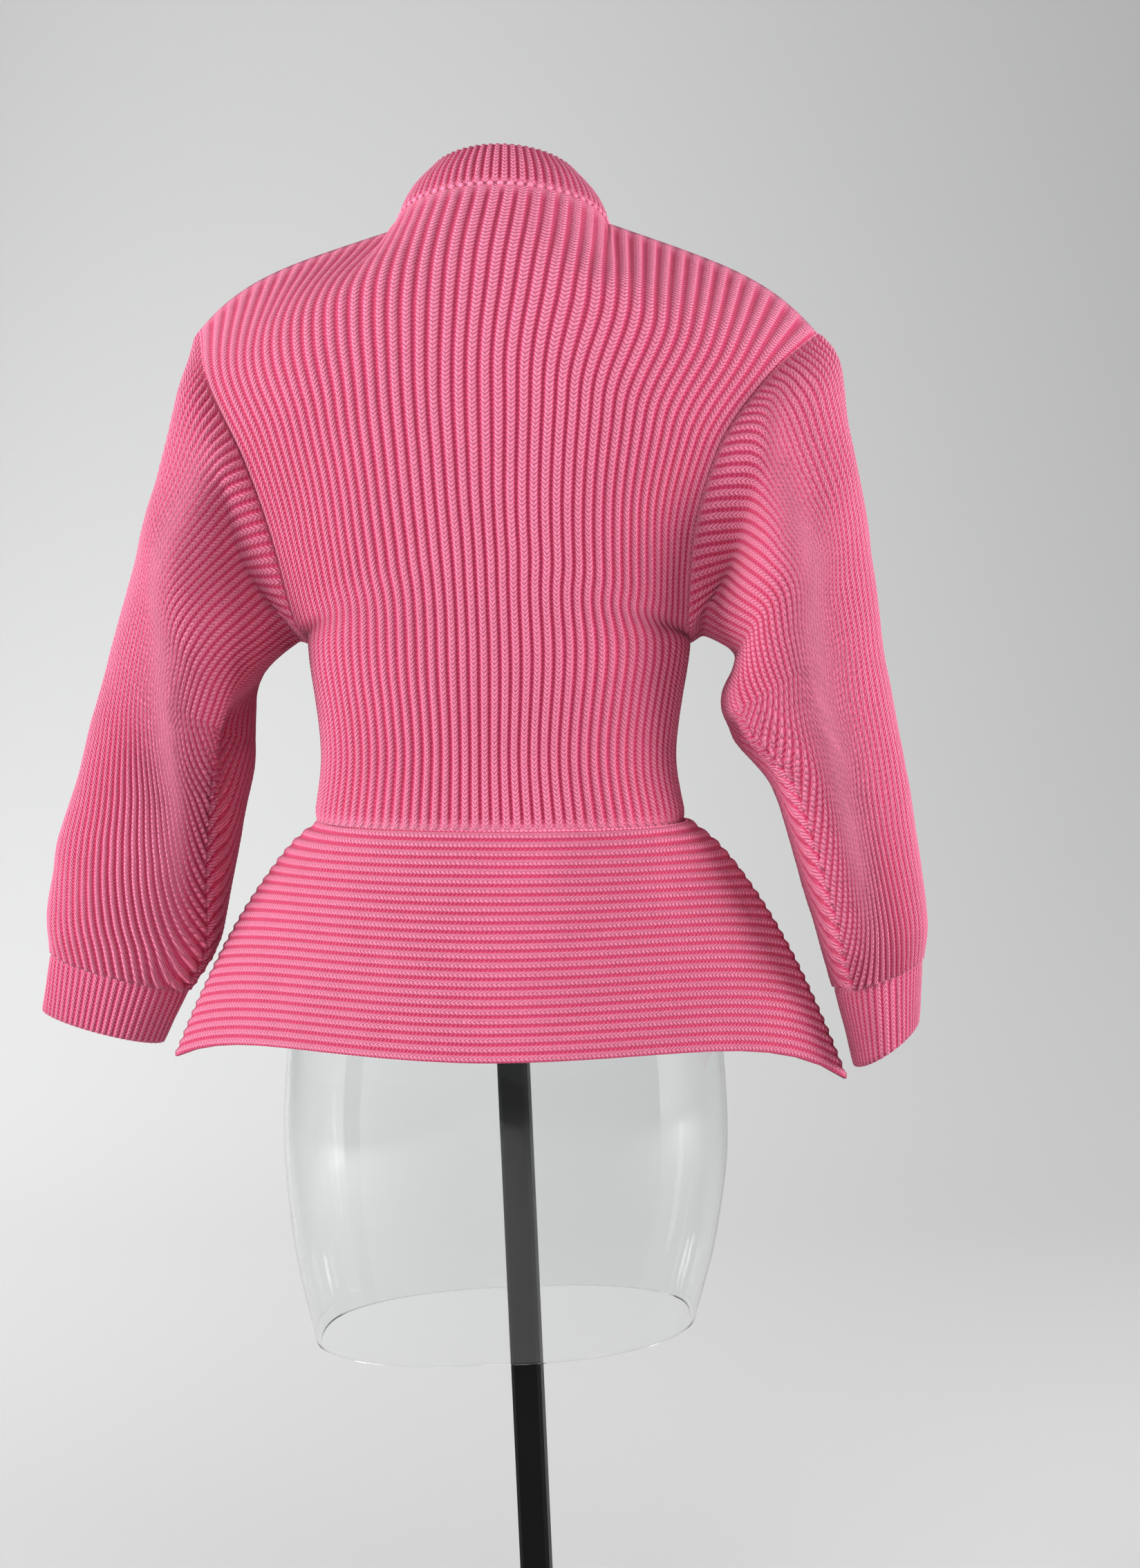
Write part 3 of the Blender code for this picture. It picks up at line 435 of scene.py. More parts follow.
def new_tree(name, sizes):
    """A Geometry Nodes tree whose inputs are a geometry, named sizes and a yarn, with its input node."""
    tree = bpy.data.node_groups.new(name, "GeometryNodeTree")
    face = tree.interface
    face.new_socket("Geometry", in_out="OUTPUT", socket_type="NodeSocketGeometry")
    face.new_socket("Geometry", in_out="INPUT", socket_type="NodeSocketGeometry")
    for size in sizes:
        face.new_socket(size, in_out="INPUT", socket_type="NodeSocketFloat")
    face.new_socket("Yarn", in_out="INPUT", socket_type="NodeSocketMaterial")
    return tree, add(tree, "NodeGroupInput")


ribs_tree, given = new_tree("raise_ribs", ("Wall", "Rib height", "Roundness", "Unevenness", "Sway",
                                           "Sway size"))
rib, lift, loose, relief = [
    add(ribs_tree, "GeometryNodeInputNamedAttribute", {"Name": name}, data_type="FLOAT")["Attribute"]
    for name in ("rib", "lift", "loose", "relief")]
outward = add(ribs_tree, "GeometryNodeInputNamedAttribute", {"Name": "outward"},
              data_type="FLOAT_VECTOR")["Attribute"]
power = add(ribs_tree, MATH, {0: given["Roundness"], 1: 2.0}, operation="MULTIPLY")[0]
profile = add(ribs_tree, MATH, {0: arches(ribs_tree, rib), 1: power}, operation="POWER")[0]
noise = add(ribs_tree, NOISE, {"Scale": 1.0 / (UNEVEN_SIZE * MM), "Detail": 2.0})["Fac"]
swing = add(ribs_tree, MATH, {0: noise, 1: 0.5}, operation="SUBTRACT")[0]
shape = add(ribs_tree, MATH, {0: swing, 1: given["Unevenness"], 2: profile}, operation="MULTIPLY_ADD")[0]
knitted = add(ribs_tree, MATH, {0: shape, 1: given["Rib height"]}, operation="MULTIPLY")[0]
thickness = add(ribs_tree, MATH, {0: knitted, 1: relief, 2: given["Wall"]}, operation="MULTIPLY_ADD")[0]
depth = add(ribs_tree, MATH, {0: thickness, 1: lift}, operation="MULTIPLY")[0]
sway_scale = add(ribs_tree, MATH, {0: 1.0, 1: given["Sway size"]}, operation="DIVIDE")[0]
sway_noise = add(ribs_tree, NOISE, {"Scale": sway_scale, "Detail": 1.0})["Fac"]
swung = add(ribs_tree, MATH, {0: sway_noise, 1: 0.5}, operation="SUBTRACT")[0]
sway = add(ribs_tree, MATH, {0: swung, 1: given["Sway"]}, operation="MULTIPLY")[0]
reach = add(ribs_tree, MATH, {0: sway, 1: loose, 2: depth}, operation="MULTIPLY_ADD")[0]
offset = add(ribs_tree, "ShaderNodeVectorMath", {0: outward, "Scale": reach}, operation="SCALE")["Vector"]
moved = add(ribs_tree, "GeometryNodeSetPosition", {"Geometry": given["Geometry"],
                                                   "Offset": offset})["Geometry"]
smooth = add(ribs_tree, "GeometryNodeSetShadeSmooth", {"Geometry": moved})["Geometry"]
real = add(ribs_tree, "GeometryNodeRealizeInstances", {"Geometry": smooth})["Geometry"]
yarn = add(ribs_tree, "GeometryNodeSetMaterial", {"Geometry": real, "Material": given["Yarn"]})["Geometry"]
add(ribs_tree, "NodeGroupOutput", {"Geometry": yarn})


def applied(piece, tree, inputs):
    """Run a node tree on a piece with named inputs, and keep the result as a plain mesh."""
    modifier = piece.modifiers.new(tree.name, "NODES")
    modifier.node_group = tree
    sockets = {item.name: item.identifier for item in tree.interface.items_tree if item.in_out == "INPUT"}
    for name, value in inputs.items():
        modifier[sockets[name]] = value
    bpy.context.view_layer.update()
    graph = bpy.context.evaluated_depsgraph_get()
    mesh = bpy.data.meshes.new_from_object(piece.evaluated_get(graph))
    piece.modifiers.remove(modifier)
    blank = piece.data
    piece.data = mesh
    bpy.data.meshes.remove(blank)
    mesh.name = piece.name
    return piece


SEAM_HOLD = 0.12


def edge_fade(length, margin, start=True, end=True):
    """1 in the middle, falling to 0 within a margin of rows or columns at the ends."""
    number = np.arange(length, dtype=float)
    fade = np.ones(length)
    if start:
        fade = np.minimum(fade, number / margin)
    if end:
        fade = np.minimum(fade, (length - 1 - number) / margin)
    return fade


def turn_outward(mesh):
    """Make every face of a closed mesh face outward."""
    work = bmesh.new()
    work.from_mesh(mesh)
    bmesh.ops.recalc_face_normals(work, faces=work.faces)
    work.to_mesh(mesh)
    work.free()


def cloth_shell(name, grid, outward, rib, stitch, relief, closed=False):
    """A plain closed shell: a fine outer face, a coarse inner face, and the edges between them.

    The outer points still lie on the inner face; the rib tree lifts them."""
    rows, columns = grid.shape[:2]
    wide = columns - 1 if closed else columns
    coarse_rows = list(range(0, rows, INNER_STEP))
    coarse_columns = list(range(0, columns, INNER_STEP))
    coarse = np.ix_(coarse_rows, coarse_columns[:-1] if closed else coarse_columns)
    points = leaning(grid)[:, :wide].reshape(-1, 3)
    inner_points = leaning(grid)[coarse].reshape(-1, 3)
    inner_wide = coarse[1].size

    def outer_at(row, column):
        return row * wide + column % wide

    def inner_at(row, column):
        return len(points) + row * inner_wide + column % inner_wide

    faces = []
    spots = []
    for row in range(rows - 1):
        for column in range(columns - 1):
            corners = [(row, column), (row, column + 1), (row + 1, column + 1), (row + 1, column)]
            faces.append([outer_at(*corner) for corner in corners])
            spots.append(corners)
    for row in range(len(coarse_rows) - 1):
        for column in range(len(coarse_columns) - 1):
            corners = [(row, column), (row + 1, column), (row + 1, column + 1), (row, column + 1)]
            faces.append([inner_at(*corner) for corner in corners])
            spots.append([(coarse_rows[a], coarse_columns[b]) for a, b in corners])
    last = len(coarse_rows) - 1, len(coarse_columns) - 1
    edges = [(coarse_columns, 0, 0, 1, 1), (coarse_columns, last[0], rows - 1, 1, -1)]
    if not closed:
        edges += [(coarse_rows, 0, 0, -1, -1), (coarse_rows, last[1], columns - 1, -1, 1)]
    for steps, coarse_line, fine_line, swap, order in edges:
        for number, (start, end) in enumerate(zip(steps, steps[1:])):
            inner = [(coarse_line, number)[::swap], (coarse_line, number + 1)[::swap]]
            fine = [(fine_line, step)[::swap] for step in range(end, start - 1, -1)]
            face = [inner_at(*corner) for corner in inner] + [outer_at(*corner) for corner in fine]
            faces.append(face[::order])
            spots.append([fine[-1], fine[0], *fine][::order])

    mesh = bpy.data.meshes.new(name)
    mesh.from_pydata((np.vstack([points, inner_points]) * MM).tolist(), [], faces)
    uv = np.array([(rib[spot], stitch[spot]) for corners in spots for spot in corners])
    mesh.uv_layers.new(name="knit").data.foreach_set("uv", uv.ravel())
    held = np.outer(edge_fade(rows, rows * SEAM_HOLD), np.ones(columns))
    if not closed:
        held = held * edge_fade(columns, columns * SEAM_HOLD)
    layers = {"rib": rib, "relief": relief, "flattened": np.clip(1 - relief, 0.0, 1.0),
              "lift": np.ones((rows, columns)), "loose": np.clip(held, 0.0, 1.0)}
    for layer, values in layers.items():
        inside = values[coarse] if layer == "loose" else np.zeros(len(inner_points))
        both = np.concatenate([values[:, :wide].ravel(), inside.ravel()])
        mesh.attributes.new(layer, "FLOAT", "POINT").data.foreach_set("value", both)
    ways = leaning(outward, 0.0)
    ways = np.vstack([ways[:, :wide].reshape(-1, 3), ways[coarse].reshape(-1, 3)])
    mesh.attributes.new("outward", "FLOAT_VECTOR", "POINT").data.foreach_set("vector", ways.ravel())
    turn_outward(mesh)
    return added(name, mesh)


def finish_cloth(piece, node, rib_height=RIB_HEIGHT, sway=SWAY):
    """Raise the ribs, then hang the piece on the frame's root and hide the solid that it stands for."""
    applied(piece, ribs_tree, {"Wall": WALL * MM, "Rib height": rib_height * MM, "Roundness": ROUNDNESS,
                               "Unevenness": UNEVENNESS, "Sway": sway * MM, "Sway size": SWAY_SIZE * MM,
                               "Yarn": wool})
    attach(piece, "root")
    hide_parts(node)


for name, side in (("back_panel", -1), ("front_panel", 1)):
    grid, outward, underarm = body_surface(side, BODY_RIBS * COLUMNS_PER_RIB, BODY_ROWS)
    rows, columns = grid.shape[:2]
    across = np.linspace(-1.0, 1.0, columns)
    rib = np.array([panel_ribs(rise, across) for rise in np.linspace(0.0, 1.0, rows)])
    relief = np.outer(edge_fade(rows, 1.5), np.ones(columns))
    panel = cloth_shell(name, grid, outward, rib, along_columns(grid) / STITCH_HEIGHT, relief)
    finish_cloth(panel, "back" if side < 0 else "front")


# Sleeves. Each is a tube of rib knit set into the armhole and closed by one seam on the inner side of the
# arm. The sleeve narrows to the cuff by ending its ribs at that seam, from both sides, so that the seam
# looks like a plait of ribs that point down the arm.
SLEEVE_RIBS = 74
ENDED_RIBS = 20
ENDING_FROM = 0.45
SLEEVE_ROWS = 96
SLEEVE_BLUR = 4
SLEEVE_COLUMNS = ("out_x", "out_z", "in_x", "in_z", "mid_y", "half_depth", "turn")
# The first ring lies this far on the way from the armhole's edge to its own row.
FIRST_RING_SHARE = 0.6
LEFT_SLEEVE = (
    (228, 984, 150, 811, -5, 79, 4),
    (237.5, 925, 172, 787, -6, 80, 20),
    (255.5, 868, 181, 763, -2, 75, 34),
    (283.5, 788, 181, 731, 3, 69, 45),
    (306, 718, 189, 690, 8, 63, 40),
    (325.5, 663, 199, 645, 13, 58, 34),
    (335, 618, 209, 602, 17, 47, 24),
    (335, 593, 231, 566, 20, 35, 18),
)
RIGHT_SLEEVE = (
    (238, 990, 146, 816, -5, 79, 4),
    (239.5, 936, 162, 799, -6, 80, 20),
    (250.5, 877, 156, 774, -2, 76, 34),
    (261, 806, 159, 750, 3, 73, 45),
    (275, 738, 183.5, 716, 8, 70, 52),
    (286, 672, 200, 668, 13, 67, 57),
    (293, 620, 215, 616, 17, 60, 59),
    (291, 598, 227, 574, 20, 50, 58),
)
# A hollow beside each armhole, at the back and the front, and a tuck at the inner side of the elbow with
# fuller cloth above it.
FOLD_COLUMNS = ("side", "down", "around", "run", "width", "depth")
SLEEVE_FOLDS = (
    (-1, 0.11, 0.17, 0.08, 0.13, -14),
    (-1, 0.12, 0.76, 0.08, 0.13, -9),
    (-1, 0.42, 0.92, 0.14, 0.06, -9),
    (-1, 0.38, 0.04, 0.14, 0.07, 4),
    (1, 0.10, 0.17, 0.08, 0.12, -17),
    (1, 0.12, 0.78, 0.08, 0.13, -11),
    (1, 0.40, 0.12, 0.14, 0.08, 5),
    (1, 0.42, 0.91, 0.08, 0.10, 5),
    (-1, 0.09, 0.11, 0.06, 0.09, -7),
    (-1, 0.22, 0.17, 0.08, 0.06, -7),
    (-1, 0.30, 0.13, 0.07, 0.07, 4),
    (-1, 0.47, 0.955, 0.10, 0.035, -7),
    (-1, 0.43, 0.025, 0.10, 0.035, 5),
    (-1, 0.60, 0.10, 0.06, 0.05, -2.5),
    (-1, 0.80, 0.62, 0.05, 0.08, -3),
    (1, 0.08, 0.11, 0.06, 0.08, -9),
    (1, 0.24, 0.19, 0.09, 0.06, 5),
    (1, 0.52, 0.93, 0.08, 0.035, -6),
    (1, 0.48, 0.00, 0.09, 0.035, 4),
    (1, 0.66, 0.07, 0.06, 0.05, -2.5),
    (1, 0.74, 0.60, 0.05, 0.08, -3),
)
FOLD_FADE = 8.0
# The cloth is flat on the outer side of a long soft crease, which runs from the shoulder down to the cuff
# and parts it from the fuller cloth that turns in to the seam. Its ribs are crowded and flattened.
LONG_CREASES = {
    -1: ((0.15, 0.30), (0.30, 0.22), (0.38, 0.145), (0.48, 0.09), (0.60, 0.06), (0.95, 0.03)),
    1: ((0.06, 0.36), (0.13, 0.30), (0.22, 0.225), (0.38, 0.17), (0.51, 0.13), (0.66, 0.08), (0.95, 0.045)),
}
CREASE_HEIGHT = 3.5
CREASE_SPREAD = 0.045
CREASE_SOFTNESS = 0.012
CREASE_FLATNESS = 0.75
CREASE_CROWDING = {-1: 1.2, 1: 2.6}
CROWD_SPREAD = 0.022
CROWD_FADE = 3.5
# Below the shoulder the sleeve hangs flat, so its ribs are even as seen from the back and not round the
# arm. They crowd toward the seam as far as RIB_LEANS says at each share of the length, end there between
# the elbow and the cuff, and swell where they end.
RIB_EVENING = 0.6
EVEN_FROM = 0.75
EVEN_ROUND = (0.70, 0.82)
RIB_LEANS = ((0.00, 0.0), (0.30, 0.15), (0.60, 0.15), (0.85, 0.0), (1.00, 0.0))
PLAIT_RELIEF = 2.0
PLAIT_GROWTH = 6.0
PLAIT_SPREAD = 0.04
PLAIT_BEND = 3.0
PLAIT_REACH = 0.055


def on_crease(sign, down, fractions, spread, fade):
    """1 on the long crease's ridge at one level of a sleeve, falling to 0 beside it and at the ends."""
    downs, places = zip(*LONG_CREASES[sign])
    beside = (fractions - np.interp(down, downs, places) + 0.5) % 1.0 - 0.5
    near = np.exp(-(np.sqrt(beside ** 2 + CREASE_SOFTNESS ** 2) - CREASE_SOFTNESS) / spread)
    return near * min(1.0, fade * down, fade * (1 - down))


def evened_shares(points, outside, evening, crowding, fractions):
    """How far round a ring each point is, counted partly as the ring is seen from the back, and with more
    ribs on the crease. At the front, next to the seam, it is counted by length alone."""
    steps = np.diff(points, axis=0)
    lengths = np.linalg.norm(steps, axis=1)
    across = unit((points[outside] - points[0]) * np.array([1.0, 0.0, 1.0]))
    seen = np.abs(steps @ across)
    evening = evening * np.interp(fractions[1:], EVEN_ROUND, (1.0, 0.0))
    weights = (1 - evening) * lengths / lengths.sum() + evening * seen / seen.sum()
    weights = weights * (1 + crowding[1:])
    return np.concatenate([[0.0], np.cumsum(weights)]) / weights.sum()


def sleeve_ribs(ended, shares, outside, plaited, lean, fractions):
    """The place across the ribs at one level; a rib runs straight down the arm's outside."""
    half = SLEEVE_RIBS / 2
    back = shares / shares[outside]
    front = (1 - shares) / (1 - shares[outside])
    ribs = np.where(back < 1, ended + (half - ended) * back * (1 + lean * (1 - back)),
                    SLEEVE_RIBS - ended - (half - ended) * front * (1 + lean * (1 - front)))
    bend = np.exp(-(fractions / PLAIT_REACH) ** 2) - np.exp(-((1 - fractions) / PLAIT_REACH) ** 2)
    return ribs + PLAIT_BEND * min(1.0, 4 * plaited) * (1 - plaited / 2) * bend


def fold_depths(sign, down, fractions):
    """How far the folds move a sleeve's cloth outward at one level."""
    depths = np.zeros(len(fractions))
    for fold in table(FOLD_COLUMNS, SLEEVE_FOLDS):
        if fold["side"] == sign:
            beside = (fractions - fold["around"] + 0.5) % 1.0 - 0.5
            depths += fold["depth"] * np.exp(-((down - fold["down"]) / fold["run"]) ** 2
                                             - (beside / fold["width"]) ** 2)
    return depths * min(1.0, FOLD_FADE * down, FOLD_FADE * (1 - down))


def ring(row, sign):
    """A dense oval ring of a sleeve's inner face, from its seam round the back, outside and front."""
    outside = np.array([sign * row["out_x"], row["mid_y"], row["out_z"]])
    inside = np.array([sign * row["in_x"], row["mid_y"], row["in_z"]])
    centre = (outside + inside) / 2
    width = np.linalg.norm(inside - outside) / 2 - CLOTH
    toward_body = unit(inside - outside)
    toward_back = np.array([0.0, -1.0, 0.0])
    depth = row["half_depth"] - CLOTH
    angles = math.radians(row["turn"]) + np.linspace(0.0, 2 * math.pi, 2 * DENSE + 1)
    points = (centre + np.outer(width * np.cos(angles), toward_body)
              + np.outer(depth * np.sin(angles), toward_back))
    outward = (np.outer(np.cos(angles) / width, toward_body)
               + np.outer(np.sin(angles) / depth, toward_back))
    return np.hstack([points, unit(outward)])


def armhole_edge(sign):
    """The armhole's closed edge from the underarm up the back, over the tip and down the front."""
    column = 0 if sign < 0 else -1
    halves = []
    for side in (-1, 1):
        grid, outward, underarm = body_surface(side, 2 * BODY_RIBS, 2 * BODY_ROWS)
        edge = np.hstack([grid[underarm:, column], outward[underarm:, column]])
        halves.append(edge if side < 0 else edge[::-1])
    edge = np.vstack(halves)
    into_sleeve = unit(np.cross(np.gradient(edge[:, :3], axis=0), edge[:, 3:]))
    facing = np.sign(np.sum(into_sleeve[:, 0]) * sign)
    edge[:, :3] += into_sleeve * facing * CURVED_SEAM_GAP
    edge[[0, -1], 1] = 0.0
    return edge


# Each piece is linked to the next one by a row of small yarn loops in the seam between the two.
LINK_PITCH = 3.0
LINK_RADIUS = 1.25
LINK_PLACE = WALL - 0.8
LINK_SHAPE = (1.35, 0.9, 0.9)
# The loops sit on the knit pattern's ridge, so they take its colour, which is painted light.
LINK_KNIT = (0.62, 0.5, 0.0)
links_tree, given = new_tree("row_of_loops", ("Radius",))
loop = add(links_tree, "GeometryNodeMeshUVSphere", {"Radius": given["Radius"], "Segments": 8,
                                                    "Rings": 4})["Mesh"]
along = add(links_tree, "GeometryNodeInputNamedAttribute", {"Name": "along"},
            data_type="FLOAT_VECTOR")["Attribute"]
aimed = add(links_tree, "FunctionNodeAlignRotationToVector", {"Vector": along}, axis="X")["Rotation"]
placed = add(links_tree, "GeometryNodeInstanceOnPoints",
             {"Points": given["Geometry"], "Instance": loop, "Rotation": aimed,
              "Scale": LINK_SHAPE})["Instances"]
real = add(links_tree, "GeometryNodeRealizeInstances", {"Geometry": placed})["Geometry"]
smooth = add(links_tree, "GeometryNodeSetShadeSmooth", {"Geometry": real})["Geometry"]
marked = add(links_tree, "GeometryNodeStoreNamedAttribute",
             {"Geometry": smooth, "Name": "knit", "Value": LINK_KNIT}, data_type="FLOAT2",
             domain="CORNER")["Geometry"]
yarn = add(links_tree, "GeometryNodeSetMaterial", {"Geometry": marked,
                                                   "Material": given["Yarn"]})["Geometry"]
add(links_tree, "NodeGroupOutput", {"Geometry": yarn})


def link_row(name, seam, pitch=LINK_PITCH, radius=LINK_RADIUS, place=LINK_PLACE):
    """A row of yarn loops along a closed seam, whose rows hold a point and the way outward there."""
    length = np.sum(np.linalg.norm(np.diff(seam[:, :3], axis=0), axis=1))
    spots = share_out(seam, np.arange(round(length / pitch)) / round(length / pitch))
    points = leaning(spots[:, :3] + unit(spots[:, 3:]) * place)
    mesh = bpy.data.meshes.new(name)
    mesh.from_pydata((points * MM).tolist(), [], [])
    ways = np.roll(points, -1, axis=0) - np.roll(points, 1, axis=0)
    mesh.attributes.new("along", "FLOAT_VECTOR", "POINT").data.foreach_set("vector", ways.ravel())
    row = applied(added(name, mesh), links_tree, {"Radius": radius * MM, "Yarn": wool})
    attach(row, "root")


link_row("left_armhole_links", armhole_edge(-1))
link_row("right_armhole_links", armhole_edge(1))

for name, sign, rings in (("left_sleeve_knit", -1, LEFT_SLEEVE), ("right_sleeve_knit", 1, RIGHT_SLEEVE)):
    columns = SLEEVE_RIBS * COLUMNS_PER_RIB
    fractions = np.linspace(0.0, 1.0, columns + 1)
    edge = share_out(armhole_edge(sign), fractions)
    curves = [edge] + [share_out(ring(row, sign), fractions) for row in table(SLEEVE_COLUMNS, rings)]
    curves[1] = edge + (curves[1] - edge) * FIRST_RING_SHARE
    stations = np.arange(len(curves)) / (len(curves) - 1)
    downs = np.linspace(0.0, 1.0, SLEEVE_ROWS + 1)
    surface = np.array([smooth_between(stations, curves, down) for down in downs])
    grid = surface[:, :, :3]
    turns = [0.0, rings[0][-1] * FIRST_RING_SHARE] + [row[-1] for row in rings[1:]]
    outside = [round((0.5 - smooth_between(stations, turns, down) / 360) * columns) for down in downs]
    crowded = np.array([on_crease(sign, down, fractions, CROWD_SPREAD, CROWD_FADE) for down in downs])
    crowding = CREASE_CROWDING[sign] * crowded
    evening = RIB_EVENING * np.minimum(1.0, downs / EVEN_FROM)
    shares = [evened_shares(*level, fractions) for level in zip(grid, outside, evening, crowding)]
    folds = np.array([fold_depths(sign, down, fractions)
                      + CREASE_HEIGHT * on_crease(sign, down, fractions, CREASE_SPREAD, FOLD_FADE)
                      for down in downs])
    grid = grid + grid_normals(grid, closed=True) * folds[:, :, None]
    outward = grid_normals(grid, closed=True)
    outward[0] = unit(edge[:, 3:])
    outward = blurred(outward, SLEEVE_BLUR)
    outward[:, -1] = outward[:, 0] = unit(outward[:, 0] + outward[:, -1])
    plaited = np.clip((downs - ENDING_FROM) / (1 - ENDING_FROM), 0.0, 1.0)
    leans = np.interp(downs, *zip(*RIB_LEANS))
    rib = np.array([sleeve_ribs(ENDED_RIBS * share, even, place, share, lean, fractions)
                    for share, even, place, lean in zip(plaited, shares, outside, leans)])
    swell = np.exp(-(np.minimum(fractions, 1 - fractions) / PLAIT_SPREAD) ** 2)
    relief = np.outer(edge_fade(len(downs), 1.5, end=False), edge_fade(columns + 1, 2.0))
    swell = np.outer(np.clip(PLAIT_GROWTH * plaited, 0.0, 1.0), swell)
    relief = relief * (1 - CREASE_FLATNESS * crowded) * (1 + PLAIT_RELIEF * swell)
    sleeve = cloth_shell(name, grid, outward, rib, along_columns(grid) / STITCH_HEIGHT, relief, closed=True)
    finish_cloth(sleeve, name.replace("_knit", ""))


# Cuffs. A short tube of finer rib at the end of each sleeve, knitted on smaller needles and linked on.
CUFF_RIBS = 52
CUFF_ROWS = 12
CUFF_RIB_HEIGHT = 1.1
CUFF_COLUMNS = ("out_x", "out_z", "in_x", "in_z", "mid_y", "half_depth", "turn")
LEFT_CUFF = (
    (335, 592.7, 231.5, 565.7, 20, 34, 18),
    (343.5, 549, 252, 525, 22, 28, 14),
)
RIGHT_CUFF = (
    (291, 597.7, 227.5, 573.7, 20, 49, 30),
    (289, 552, 242, 518, 22, 47, 24),
)


def tube_of_ribs(name, rings, ribs, rows, start_fade):
    """A shell of straight ribs through rings of points."""
    fractions = np.linspace(0.0, 1.0, ribs * COLUMNS_PER_RIB + 1)
    curves = [share_out(dense, fractions) for dense in rings]
    stations = np.arange(len(curves)) / (len(curves) - 1)
    surface = np.array([smooth_between(stations, curves, step / rows) for step in range(rows + 1)])
    grid = surface[:, :, :3]
    rib = np.broadcast_to(fractions * ribs, grid.shape[:2])
    relief = np.outer(edge_fade(rows + 1, start_fade, end=False), np.ones(len(fractions)))
    outward = unit(surface[:, :, 3:])
    return cloth_shell(name, grid, outward, rib, along_columns(grid) / STITCH_HEIGHT, relief, closed=True)


for name, sign, rings in (("left_cuff_knit", -1, LEFT_CUFF), ("right_cuff_knit", 1, RIGHT_CUFF)):
    curves = [ring(row, sign) for row in table(CUFF_COLUMNS, rings)]
    cuff = tube_of_ribs(name, curves, CUFF_RIBS, CUFF_ROWS, 1.0)
    finish_cloth(cuff, name.replace("_knit", ""), CUFF_RIB_HEIGHT)
    link_row(name.replace("knit", "links"), curves[0])


# Collar. A funnel of rib knit picked up round the neck's opening and bound off at its upper edge.
COLLAR_RIBS = 70
COLLAR_ROWS = 12
COLLAR_COLUMNS = ("half_width", "half_depth", "centre_y", "lift")
COLLAR_GUIDES = (
    (NECK_HALF_WIDTH, NECK_HALF_DEPTH, NECK_CENTRE_Y, SEAM_GAP),
    (62.5, 56.5, 6.5, 17),
    (48.5, 50.5, 8, 34),
)


def neck_ring(half_width, half_depth, centre_y, lift):
    """A dense ring parallel to the neck's plane, lifted square to it."""
    angles = np.linspace(0.0, 2 * math.pi, 2 * DENSE + 1)
    square = unit(np.array([0.0, NECK_FALL, 1.0]))
    points = np.array([neck_point(angle, half_width, half_depth, centre_y) for angle in angles])
    away = points - np.array([0.0, centre_y, 0.0])
    outward = np.stack([away[:, 0] / half_width ** 2, away[:, 1] / half_depth ** 2,
                        -NECK_FALL * away[:, 1] / half_depth ** 2], axis=1)
    return np.hstack([points + square * lift, unit(outward)])


collar_rings = [neck_ring(**row) for row in table(COLLAR_COLUMNS, COLLAR_GUIDES)]
collar = tube_of_ribs("collar_knit", collar_rings, COLLAR_RIBS, COLLAR_ROWS, 2.0)
finish_cloth(collar, "collar")

# The collar's link row is the only one of thick yarn: its loops stand proud all round the neck.
COLLAR_LINK_PITCH = 6.4
COLLAR_LINK_RADIUS = 1.7
COLLAR_LINK_PLACE = WALL + 0.3
link_row("collar_links", collar_rings[0], COLLAR_LINK_PITCH, COLLAR_LINK_RADIUS, COLLAR_LINK_PLACE)


# Peplum. Two flared panels knitted sideways, so that their ribs lie level, linked to the waist and to each
# other at the sides, where they stand out as two points.
PEPLUM_RIBS = 25
PEPLUM_STEPS = 96
PEPLUM_SWAY = 5.0
PEPLUM_BLUR = 3
PEPLUM_RIB_HEIGHT = 1.4
DROOP_ACROSS = 6.0
DROOP_DOWN = 1.5
PEPLUM_TOP = 690.0
HEM_MID_Z = 541.5
HEM_TILT = 2.5
LEFT_TIP_Z = 522.0
RIGHT_TIP_Z = 510.0
PEPLUM_GUIDE_COLUMNS = ("fall", "tip_x", "depth", "power", "bow")
PEPLUM_GUIDES = (
    (0.00, 125.5, 89, 2.15, 0.465),
    (0.10, 146, 91, 2.05, 0.60),
    (0.25, 167, 96, 1.90, 0.80),
    (0.50, 194, 104, 1.80, 0.98),
    (0.75, 216, 110, 1.75, 1.06),
    (1.00, 235.5, 114, 1.70, 1.10),
)


def peplum_curve(fall, side, fractions):
    """One level of a peplum panel's inner face, from the left side seam to the right one."""
    guides = table(PEPLUM_GUIDE_COLUMNS, PEPLUM_GUIDES)
    stations = [row["fall"] for row in guides]
    values = [[row[column] for column in PEPLUM_GUIDE_COLUMNS[1:]] for row in guides]
    tip_x, depth, power, bow = smooth_between(stations, values, fall)
    reach = np.sin(np.linspace(-math.pi / 2, math.pi / 2, 2 * DENSE + 1))
    y = side * depth * (1 - np.abs(reach) ** power) ** bow
    mid_z = PEPLUM_TOP - SEAM_GAP - fall * (PEPLUM_TOP - SEAM_GAP - HEM_MID_Z)
    tip_z = np.where(reach < 0, LEFT_TIP_Z, RIGHT_TIP_Z)
    droop = fall ** DROOP_DOWN * (HEM_MID_Z - tip_z) * np.abs(reach) ** DROOP_ACROSS
    droop -= fall * HEM_TILT * reach
    curve = share_out(np.stack([tip_x * reach, y, mid_z - droop], axis=1), fractions)
    curve[[0, -1], 1] = side * SEAM_GAP / 2
    return curve


